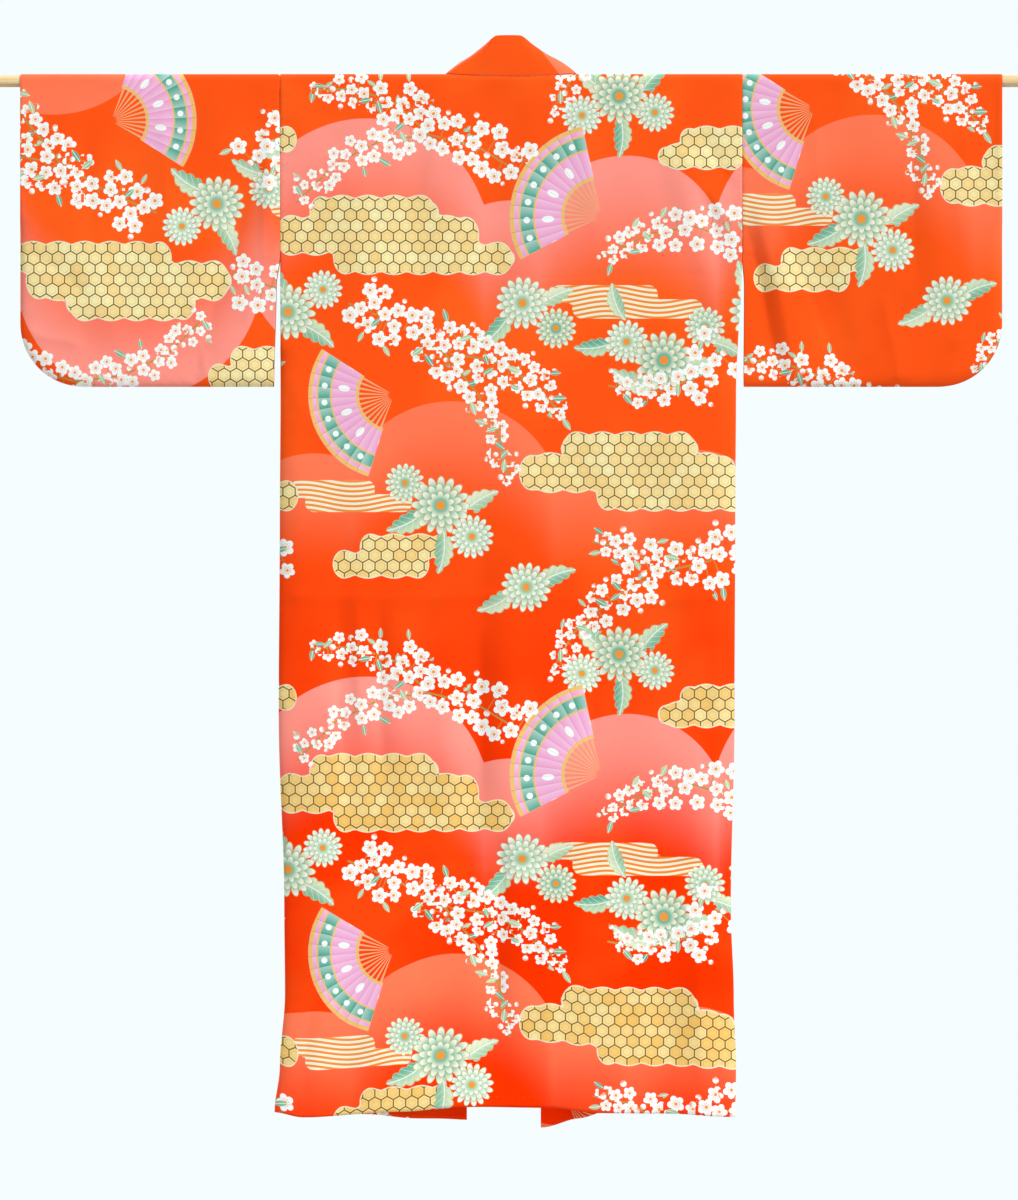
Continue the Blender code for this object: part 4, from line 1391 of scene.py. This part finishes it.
def draw_flower(w, sizes, radius, turn, tint):
    """A chrysanthemum head, its inner rings of petals over the outer ones."""
    shown, covered = None, 0.0
    for count, middle, reach, width, shift in FLOWER_RINGS:
        depth = petals(w, radius, turn, count, middle, reach, width, shift)
        mask = w.step(depth, 0.0, 0.05)
        tips = w.step(radius, middle - reach * 0.7, middle + reach * 0.8)
        petal = w.mix(tips, w.mix(tint, sizes.teal, sizes.celadon), w.mix(tint, sizes.cream, sizes.white))
        petal = w.mix(w.step(depth, 0.22, 0.06), petal, w.mix(0.55, sizes.gold_deep, sizes.teal))
        shown = petal if shown is None else w.mix(mask, shown, petal)
        covered = w.either(covered, mask)
    shown = w.mix(w.step(radius, 0.17, 0.13), shown, sizes.amber)
    return shown, w.either(covered, w.step(radius, 0.30, 0.28))


def draw_fan(w, sizes, x, y):
    """A folding fan that opens along +x from its rivet."""
    along = w.math("SUBTRACT", x, FAN_RIVET)
    reach = w.size(w.join(along, y))
    spread = w.math("ARCTAN2", y, along)
    turn = w.math("DIVIDE", spread, 2 * math.pi)
    pleat = w.math("FRACT", w.both(spread, 6.5))
    beside = w.off(pleat, 0.5)
    shown = w.mix(w.both(pleat, 0.30), sizes.lilac, sizes.white)
    band = w.both(w.step(reach, 0.88, 0.90), w.step(reach, 1.07, 1.05))
    shown = w.mix(band, shown, w.mix(w.both(pleat, 0.4), sizes.teal, sizes.white))
    dots = petals(w, reach, turn, 26.0, 0.975, 0.045, 0.045, 0.5)
    shown = w.mix(w.step(dots, 0.0, 0.15), shown, sizes.white)
    stars = petals(w, reach, turn, 13.0, 0.70, 0.085, 0.045, 0.5)
    shown = w.mix(w.step(stars, 0.0, 0.1), shown, sizes.white)
    for middle, half in FAN_TRIMS:
        shown = w.mix(w.step(w.off(reach, middle), half, half * 0.6), shown, sizes.gold_deep)
    shown = w.mix(w.both(w.step(beside, 0.47, 0.50), 0.5), shown, sizes.line)
    paper = w.step(reach, 0.48, 0.492)
    shown = w.mix(paper, w.mix(w.both(pleat, 0.35), sizes.amber, sizes.white), shown)
    ribs = w.both(w.step(beside, 0.22, 0.16), w.step(reach, 0.06, 0.10))
    inside = w.both(w.step(w.math("ABSOLUTE", spread), 0.925, 0.910), w.step(reach, 1.200, 1.188))
    return shown, w.both(inside, w.either(paper, ribs))


def draw_large_leaf(w, sizes, x, y, tint):
    """A bent leaf with a wavy edge and side veins."""
    bend = w.math("MULTIPLY_ADD", w.both(x, x), -0.18, y)
    beside = w.math("ABSOLUTE", bend)
    waves = w.both(w.math("ABSOLUTE", w.math("SINE", w.both(x, 9.0))), 0.09)
    half = w.math("ADD", w.math("MULTIPLY_ADD", w.both(x, x), -0.40, 0.36), waves)
    lens = w.math("SUBTRACT", half, beside)
    lower, upper = w.mix(tint, sizes.celadon, sizes.cream), w.mix(tint, sizes.teal, sizes.celadon)
    shown = w.mix(w.step(bend, -0.3, 0.3), lower, upper)
    slant = w.math("FRACT", w.both(w.math("SUBTRACT", x, beside), 3.5))
    veins = w.either(w.step(w.off(slant, 0.5), 0.05, 0.02), w.step(beside, 0.035, 0.015))
    shown = w.mix(w.both(veins, 0.7), shown, sizes.white)
    shown = w.mix(w.step(lens, 0.10, 0.05), shown, w.mix(0.5, sizes.gold_deep, sizes.teal))
    return shown, w.both(w.step(lens, 0.03, 0.07), w.step(w.math("ABSOLUTE", x), 1.0, 0.97))


def draw_large_motif(w, given):
    """A chrysanthemum head, a folding fan or a large leaf, by the place's kind."""
    sizes = bpy.context.scene.kimono_print
    radius, turn, x, y, kind = polar(w, given["Place"])
    tint = w.math("FRACT", kind)
    flower = draw_flower(w, sizes, radius, turn, tint)
    return by_kind(w, kind, (flower, draw_fan(w, sizes, x, y), draw_large_leaf(w, sizes, x, y, tint)))


def draw_lattice(w, given):
    """A lattice of six-sided cells. Edge is the distance from a cell's outline."""
    scale = {0: given["Map"], "Scale": 1.0 / bpy.context.scene.kimono_print.cell}
    place = w.node("ShaderNodeVectorMath", scale, operation="SCALE").outputs["Vector"]
    tall = math.sqrt(3)
    period, half = (1.0, tall, 1.0), (0.5, tall / 2, 0.0)

    def around(shifted):
        ahead = w.vector("ADD", shifted, (900.0, 900 * tall, 0.0))
        return w.vector("SUBTRACT", w.vector("MODULO", ahead, period), half)

    first, second = around(place), around(w.vector("SUBTRACT", place, half))
    nearer = w.math("LESS_THAN", w.size(first), w.size(second))
    local = w.node("ShaderNodeMix", {0: nearer, 4: second, 5: first}, data_type="VECTOR").outputs[1]
    x, y = w.parts(w.vector("ABSOLUTE", local))[0:2]
    slanted = w.math("ADD", w.both(x, 0.5), w.both(y, tall / 2))
    middle = w.vector("ADD", w.vector("SUBTRACT", place, local), (0.01, 0.01, 0.0))
    cell = w.vector("SNAP", middle, (0.1, 0.1, 0.1))
    tint = w.node("ShaderNodeTexWhiteNoise", {"Vector": cell}, noise_dimensions="2D").outputs["Value"]
    return {"Edge": w.math("SUBTRACT", 0.5, w.either(slanted, x)), "Tint": tint}


def draw_print(w, given):
    """The whole print, drawn from the layers stored on the cloth, with painted light that leaves the
    ground and the gold paler high on the cloth and deeper low down.
    """
    sizes = bpy.context.scene.kimono_print
    flat = w.cloth_map()
    place_u, place_v = w.parts(flat)[0:2]
    high, low, cloud = w.parts(w.layer("fields"))
    stream, twig = w.parts(w.layer("lines"))[0:2]

    # Painted light: by height on the object, the ground and the gold are paler high on the cloth and
    # deeper low down, like light that falls off towards the hem.
    painted_top_light = w.step(w.parts(w.object_place())[2], -0.98, -0.42)
    patches = w.both(w.step(w.noise(flat, 5.0, 2.0), 0.40, 0.72), 0.38)
    shown = w.mix(w.math("MULTIPLY_ADD", painted_top_light, 0.72, patches), sizes.ground, sizes.ground_patches_and_painted_light)
    for depth, shade, fade in ((low, sizes.orange, 0.16), (high, sizes.coral, 0.19)):
        mist = w.both(w.step(depth, -0.0006, 0.0008), w.step(depth, fade, 0.004))
        shown = w.mix(mist, shown, shade)

    swing = w.both(w.math("SINE", w.both(place_u, 46.0)), 0.0045)
    ripple = w.math("FRACT", w.both(w.math("ADD", place_v, swing), 150.0))
    in_stream = w.step(stream, 0.0003, -0.0005)
    shown = w.mix(w.both(in_stream, 0.75), shown, sizes.amber)
    shown = w.mix(w.both(in_stream, w.step(w.off(ripple, 0.5), 0.30, 0.22)), shown, sizes.cream)

    lattice = use_group(w, "Lattice", Map=flat)
    edge = lattice["Edge"]
    # Random tints of the cells, and painted shade that makes the gold deeper low on the cloth
    cell_tint_and_painted_shade = w.math("MULTIPLY_ADD", painted_top_light, -0.40, w.math("MULTIPLY_ADD", lattice["Tint"], 0.60, 0.40))
    gold = w.mix(cell_tint_and_painted_shade, sizes.gold, sizes.gold_deep)
    gold = w.mix(w.both(w.step(w.off(edge, 0.22), 0.035, 0.020), 0.45), gold, sizes.amber)
    gold = w.mix(w.both(w.step(edge, 0.060, 0.036), 0.92), gold, sizes.line)
    gold = w.mix(w.both(w.step(cloud, -0.0022, -0.0012), 0.8), gold, sizes.cream)
    in_cloud = w.step(cloud, 0.0004, -0.0004)
    shown = w.mix(in_cloud, shown, gold)

    branch = w.step(w.math("ABSOLUTE", twig), 1.15, 0.75)
    shown = w.mix(branch, shown, w.mix(0.5, sizes.gold_deep, sizes.line))
    covered = w.either(in_cloud, branch)
    for layer, name in (("large_under", "Large motif"), ("large_top", "Large motif"),
                        ("bloom_under", "Small motif"), ("bloom_top", "Small motif")):
        motif = use_group(w, name, Place=w.layer(layer))
        shown = w.mix(motif["Mask"], shown, motif["Colour"])
        covered = w.either(covered, motif["Mask"])
    return {"Colour": shown, "Print": covered}


def draw_weave(w, given):
    """The fine uneven grain of crepe silk, as a height and as a tone."""
    flat = w.cloth_map()
    grain = w.noise(w.vector("MULTIPLY", flat, (1.0, 0.55, 1.0)), 900.0, 3.0, 0.6)
    soft = w.noise(flat, 14.0, 3.0)
    wave = {"Vector": flat, "Scale": 260.0, "Distortion": 3.0, "Detail": 1.0, "Detail Scale": 40.0}
    threads = w.node("ShaderNodeTexWave", wave, bands_direction="Y").outputs["Fac"]
    fine, wide = (w.math("SUBTRACT", uneven, 0.5) for uneven in (grain, soft))
    return {"Height": w.math("ADD", w.both(grain, 0.75), w.both(threads, 0.25)),
            "Tone": w.math("ADD", w.both(fine, 0.10), w.both(wide, 0.12))}


NODE_GROUPS = {
    # name: how it is drawn, its inputs, its outputs
    "Petal ring": (draw_petal_ring, ("Radius", "Turn", "Count", "Middle", "Reach", "Width", "Shift"),
                   ("Depth",)),
    "Small motif": (draw_small_motif, ("Place",), ("Colour", "Mask")),
    "Large motif": (draw_large_motif, ("Place",), ("Colour", "Mask")),
    "Lattice": (draw_lattice, ("Map",), ("Edge", "Tint")),
    "Kimono print": (draw_print, (), ("Colour", "Print")),
    "Crepe weave": (draw_weave, (), ("Height", "Tone")),
}
# Every other socket of the groups is a plain value
SOCKET_KINDS = {"Place": "NodeSocketVector", "Map": "NodeSocketVector", "Colour": "NodeSocketColor"}


def use_group(w, name, **inputs):
    """Place a node group, drawn when it is first used, and return its outputs."""
    if name not in bpy.data.node_groups:
        draw, *sockets = NODE_GROUPS[name]
        tree = bpy.data.node_groups.new(name, "ShaderNodeTree")
        for way, labels in zip(("INPUT", "OUTPUT"), sockets):
            for label in labels:
                kind = SOCKET_KINDS.get(label, "NodeSocketFloat")
                tree.interface.new_socket(name=label, in_out=way, socket_type=kind)
        inner = Wires(tree)
        inner.node("NodeGroupOutput", draw(inner, inner.node("NodeGroupInput").outputs))
    return w.node("ShaderNodeGroup", inputs, node_tree=bpy.data.node_groups[name]).outputs


def new_material(name):
    """A new material and the wires of its tree."""
    made = bpy.data.materials.new(name)
    made.use_nodes = True
    return made, Wires(made.node_tree)


def cloth_material(name, faded):
    """Printed crepe silk. Faded is how far the reverse is paler than the face."""
    if name in bpy.data.materials:
        return bpy.data.materials[name]
    made, w = new_material(name)
    drawn = use_group(w, "Kimono print")
    weave = use_group(w, "Crepe weave")
    shown = drawn["Colour"]
    if faded:
        above_hem = w.step(w.parts(w.object_place())[2], HEM_TURN, HEM_TURN + 0.0008)
        shown = w.mix(w.both(above_hem, faded), shown, tone(255, 176, 150))
    level = w.math("ADD", weave["Tone"], 1.0)
    shown = w.vector("MULTIPLY", shown, w.join(level, level, level))
    w.shade({"Base Color": shown, "Specular Tint": shown, "Specular IOR Level": 0.25,
             "Roughness": w.math("MULTIPLY_ADD", drawn["Print"], 0.08, 0.58),
             "Sheen Weight": 0.03, "Sheen Roughness": 0.40, "Sheen Tint": tone(255, 150, 110),
             "Normal": w.bump(0.35, 0.0003, weave["Height"])})
    return made


def rod_material(look):
    """Pale planed wood, its grain along the rod."""
    made, w = new_material("rod_wood_grain")
    place = w.object_place()
    grain = w.noise(w.vector("MULTIPLY", place, (3.0, 120.0, 120.0)), 1.0, 5.0, 0.6, "3D")
    pores = w.noise(w.vector("MULTIPLY", place, (40.0, 900.0, 900.0)), 1.0, 2.0, 0.5, "3D")
    shown = w.mix(w.step(grain, 0.38, 0.66), look.pale, look.grain)
    shown = w.mix(w.both(w.step(pores, 0.60, 0.72), 0.35), shown, look.grain)
    w.shade({"Base Color": shown, "Roughness": w.math("MULTIPLY_ADD", grain, 0.2, 0.38),
             "Normal": w.bump(0.3, 0.0004, grain)})
    return made


def thread_material(look):
    """Twisted silk thread."""
    made, w = new_material("stitch_thread")
    twist = w.noise(w.object_place(), 900.0, 1.0, 0.5, "3D")
    w.shade({"Base Color": w.mix(twist, look.shade, tone(255, 120, 70)), "Roughness": 0.5})
    return made


# Stitches

def stitch_tree(thread):
    """Geometry nodes that lay a stitch at each pitch along an edge line."""
    tree = bpy.data.node_groups.new("Stitches along a line", "GeometryNodeTree")
    for way, sockets in (("INPUT", {"Geometry": "Geometry", "Pitch": "Float", "Stitch Length": "Float",
                                    "Thread Radius": "Float", "Material": "Material"}),
                         ("OUTPUT", {"Geometry": "Geometry"})):
        for label, kind in sockets.items():
            tree.interface.new_socket(name=label, in_out=way, socket_type=f"NodeSocket{kind}")
    w = Wires(tree)
    given = w.node("NodeGroupInput").outputs
    curve = w.node("GeometryNodeMeshToCurve", {"Mesh": given["Geometry"]}).outputs["Curve"]
    points = w.node("GeometryNodeResampleCurve", {"Curve": curve, "Length": given["Pitch"]}, mode="LENGTH")
    stitch = w.node("GeometryNodeMeshCylinder", {"Vertices": 6, "Radius": given["Thread Radius"],
                                                 "Depth": given["Stitch Length"]})
    tangent = w.node("GeometryNodeInputTangent").outputs["Tangent"]
    turn = w.node("FunctionNodeAlignRotationToVector", {"Vector": tangent}, axis="Z").outputs["Rotation"]
    uneven = {2: 0.75, 3: 1.2, "Seed": thread.seed}
    scale = w.node("FunctionNodeRandomValue", uneven, data_type="FLOAT").outputs[1]
    laid = w.node("GeometryNodeInstanceOnPoints", {"Points": points.outputs["Curve"], "Rotation": turn,
                                                   "Instance": stitch.outputs["Mesh"], "Scale": scale})
    real = w.node("GeometryNodeRealizeInstances", {"Geometry": laid.outputs["Instances"]})
    done = w.node("GeometryNodeSetMaterial", {"Geometry": real.outputs["Geometry"],
                                              "Material": given["Material"]})
    w.node("NodeGroupOutput", {"Geometry": done.outputs["Geometry"]})
    return tree


def stitch_lines(cloth):
    """Lines on the cloth along which it is stitched, just above its surface."""
    lift = cloth.wall / 2 + STITCH_LIFT
    lines = []

    def on_body(layer, side, x, drop):
        x, drop = np.broadcast_arrays(x, drop)
        lines.append(body_point(cloth, layer, side, x, drop) + (0, layer * lift, 0))

    on_body(BACK, None, np.linspace(-0.296, 0.286, 190), BODY_DROP - HEM_STITCHES)
    for side in (LEFT, RIGHT):
        on_body(FRONT, side, side * np.linspace(0.066, 0.286, 80), BODY_DROP - HEM_STITCHES)
        drop = np.linspace(STITCH_START, ARMHOLE_DROP - 0.006, 70)
        for layer in (BACK, FRONT):
            on_body(layer, side, side * (HALF_BODY - ARMHOLE_STITCHES), drop)
        drop = np.linspace(STITCH_START, CUFF_DROP - CUFF_EASE, 50)
        share = np.full(drop.shape, 1.0 - CUFF_STITCHES / (HALF_SPAN - HALF_BODY))
        for layer in (BACK, FRONT):
            lines.append(sleeve_point(cloth, side, layer, share, drop) + (0, layer * lift, 0))
        drop = np.linspace(0.300, COLLAR_END_DROP - 0.01, 150)
        on_body(FRONT, side, side * (collar_seam_half(side, drop) + COLLAR_STITCHES), drop)
    return lines


def make_stitches(cloth, thread):
    """The stitches along hems, cuffs and seams, in one piece."""
    points, edges = [], []
    for line in stitch_lines(cloth):
        start = len(points)
        points += line.tolist()
        edges += [(k, k + 1) for k in range(start, len(points) - 1)]
    mesh = bpy.data.meshes.new("stitches")
    mesh.from_pydata(points, edges, [])
    made = add_object("stitches", mesh)
    tree = stitch_tree(thread)
    laid = made.modifiers.new("Stitches", "NODES")
    laid.node_group = tree
    values = {"Pitch": thread.pitch, "Stitch Length": thread.reach, "Thread Radius": thread.radius,
              "Material": thread_material(thread)}
    for item in tree.interface.items_tree:
        if item.in_out == "INPUT" and item.name in values:
            laid[item.identifier] = values[item.name]
    plain_mesh(made)
    made.data.shade_smooth()
    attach(made, "root")


# Stage

def make_air(stage):
    """Pale air behind the object, and a soft white light all round."""
    world = bpy.data.worlds.new("soft_air")
    world.use_nodes = True
    world.node_tree.nodes.clear()
    w = Wires(world.node_tree)
    seen = w.node("ShaderNodeBackground", {"Color": stage.air, "Strength": 1.0})
    lit = w.node("ShaderNodeBackground", {"Color": (1.0, 1.0, 1.0, 1.0), "Strength": stage.fill})
    ray = w.node("ShaderNodeLightPath").outputs["Is Camera Ray"]
    both = w.node("ShaderNodeMixShader", {0: ray, 1: lit.outputs[0], 2: seen.outputs[0]})
    w.node("ShaderNodeOutputWorld", {"Surface": both.outputs[0]})
    bpy.context.scene.world = world


def make_stage(stage):
    """The floor, the air, the sun lamps and the camera."""
    bpy.ops.mesh.primitive_plane_add(size=2 * stage.floor_half, location=(0.0, 0.0, -stage.floor_drop))
    floor = bpy.context.object
    floor.name = "floor"
    paint, w = new_material("floor_paint")
    w.shade({"Base Color": stage.floor, "Roughness": 0.9, "Specular IOR Level": 0.1})
    floor.data.materials.append(paint)
    make_air(stage)

    for name, place, share in LAMPS:
        data = bpy.data.lights.new(name, "SUN")
        data.energy = stage.key * share
        data.angle = LAMP_ANGLE
        lamp = add_object(name, data)
        lamp.location = place
        lamp.rotation_euler = (Vector(LAMP_AIM) - Vector(place)).to_track_quat("-Z", "Y").to_euler()

    data = bpy.data.cameras.new("camera")
    data.sensor_fit = "HORIZONTAL"
    data.sensor_width = 36.0
    data.lens = data.sensor_width * stage.view_distance / stage.view_width
    data.clip_end = 60.0
    camera = add_object("camera", data)
    camera.location = (stage.aim_x, -stage.view_distance - FOLD_RADIUS, stage.aim_z)
    camera.rotation_euler = (math.radians(90), 0.0, 0.0)
    scene = bpy.context.scene
    scene.camera = camera
    scene.view_settings.view_transform = "Standard"
    scene.view_settings.look = "None"


# Operators and panel

class KIMONO_OT_rod(bpy.types.Operator):
    """Give the rod its wood"""

    bl_idname = "kimono.rod"
    bl_label = "Rod"

    def execute(self, context):
        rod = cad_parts["rod"]
        rod.data.materials.clear()
        rod.data.materials.append(rod_material(context.scene.kimono_rod))
        return {"FINISHED"}


class KIMONO_OT_back(bpy.types.Operator):
    """Make the back, one wide panel with the neckline cut at its top"""

    bl_idname = "kimono.back"
    bl_label = "Back"

    def execute(self, context):
        make_back(context.scene.kimono_cloth, context.scene.kimono_print)
        return {"FINISHED"}


class KIMONO_OT_fronts(bpy.types.Operator):
    """Make the two front panels and the overlaps sewn to them"""

    bl_idname = "kimono.fronts"
    bl_label = "Fronts and overlaps"

    def execute(self, context):
        for side in (LEFT, RIGHT):
            make_front(context.scene.kimono_cloth, context.scene.kimono_print, side)
            make_overlap(context.scene.kimono_cloth, context.scene.kimono_print, side)
        return {"FINISHED"}


class KIMONO_OT_collar(bpy.types.Operator):
    """Make the folded collar band"""

    bl_idname = "kimono.collar"
    bl_label = "Collar"

    def execute(self, context):
        make_collar(context.scene.kimono_cloth, context.scene.kimono_print)
        return {"FINISHED"}


class KIMONO_OT_sleeves(bpy.types.Operator):
    """Make the two sleeves"""

    bl_idname = "kimono.sleeves"
    bl_label = "Sleeves"

    def execute(self, context):
        for side in (LEFT, RIGHT):
            make_sleeve(context.scene.kimono_cloth, context.scene.kimono_print, side)
        return {"FINISHED"}


class KIMONO_OT_stitches(bpy.types.Operator):
    """Lay the stitches along hems, cuffs and seams"""

    bl_idname = "kimono.stitches"
    bl_label = "Stitches"

    def execute(self, context):
        make_stitches(context.scene.kimono_cloth, context.scene.kimono_thread)
        return {"FINISHED"}


class KIMONO_OT_stage(bpy.types.Operator):
    """Set the floor, the lights and the camera"""

    bl_idname = "kimono.stage"
    bl_label = "Stage"

    def execute(self, context):
        make_stage(context.scene.kimono_stage)
        return {"FINISHED"}


class KIMONO_PT_panel(bpy.types.Panel):
    """All steps of the kimono, and their sizes and colours"""

    bl_idname = "KIMONO_PT_panel"
    bl_label = "Kimono"
    bl_space_type = "VIEW_3D"
    bl_region_type = "UI"
    bl_category = "Kimono"

    def draw(self, context):
        for operator in OPERATORS:
            self.layout.operator(operator.bl_idname)
        for name in PROPERTY_GROUPS:
            box = self.layout.box()
            settings = getattr(context.scene, name)
            for key in settings.__annotations__:
                box.prop(settings, key)


OPERATORS = (KIMONO_OT_rod, KIMONO_OT_back, KIMONO_OT_fronts, KIMONO_OT_collar, KIMONO_OT_sleeves,
             KIMONO_OT_stitches, KIMONO_OT_stage)
PROPERTY_GROUPS = {
    "kimono_cloth": KimonoCloth,
    "kimono_print": KimonoPrint,
    "kimono_thread": KimonoThread,
    "kimono_rod": KimonoRod,
    "kimono_stage": KimonoStage,
}


def register():
    """Make the add-on's classes and settings known to Blender."""
    for name, group in PROPERTY_GROUPS.items():
        bpy.utils.register_class(group)
        setattr(bpy.types.Scene, name, PointerProperty(type=group))
    for made in OPERATORS + (KIMONO_PT_panel,):
        bpy.utils.register_class(made)


def unregister():
    """Take them away again."""
    for made in (KIMONO_PT_panel,) + OPERATORS[::-1]:
        bpy.utils.unregister_class(made)
    for name, group in PROPERTY_GROUPS.items():
        delattr(bpy.types.Scene, name)
        bpy.utils.unregister_class(group)


def main():
    """Build everything through the operators."""
    register()
    bpy.ops.kimono.rod()
    bpy.ops.kimono.back()
    bpy.ops.kimono.fronts()
    bpy.ops.kimono.collar()
    bpy.ops.kimono.sleeves()
    bpy.ops.kimono.stitches()
    bpy.ops.kimono.stage()


if __name__ == "__main__":
    main()
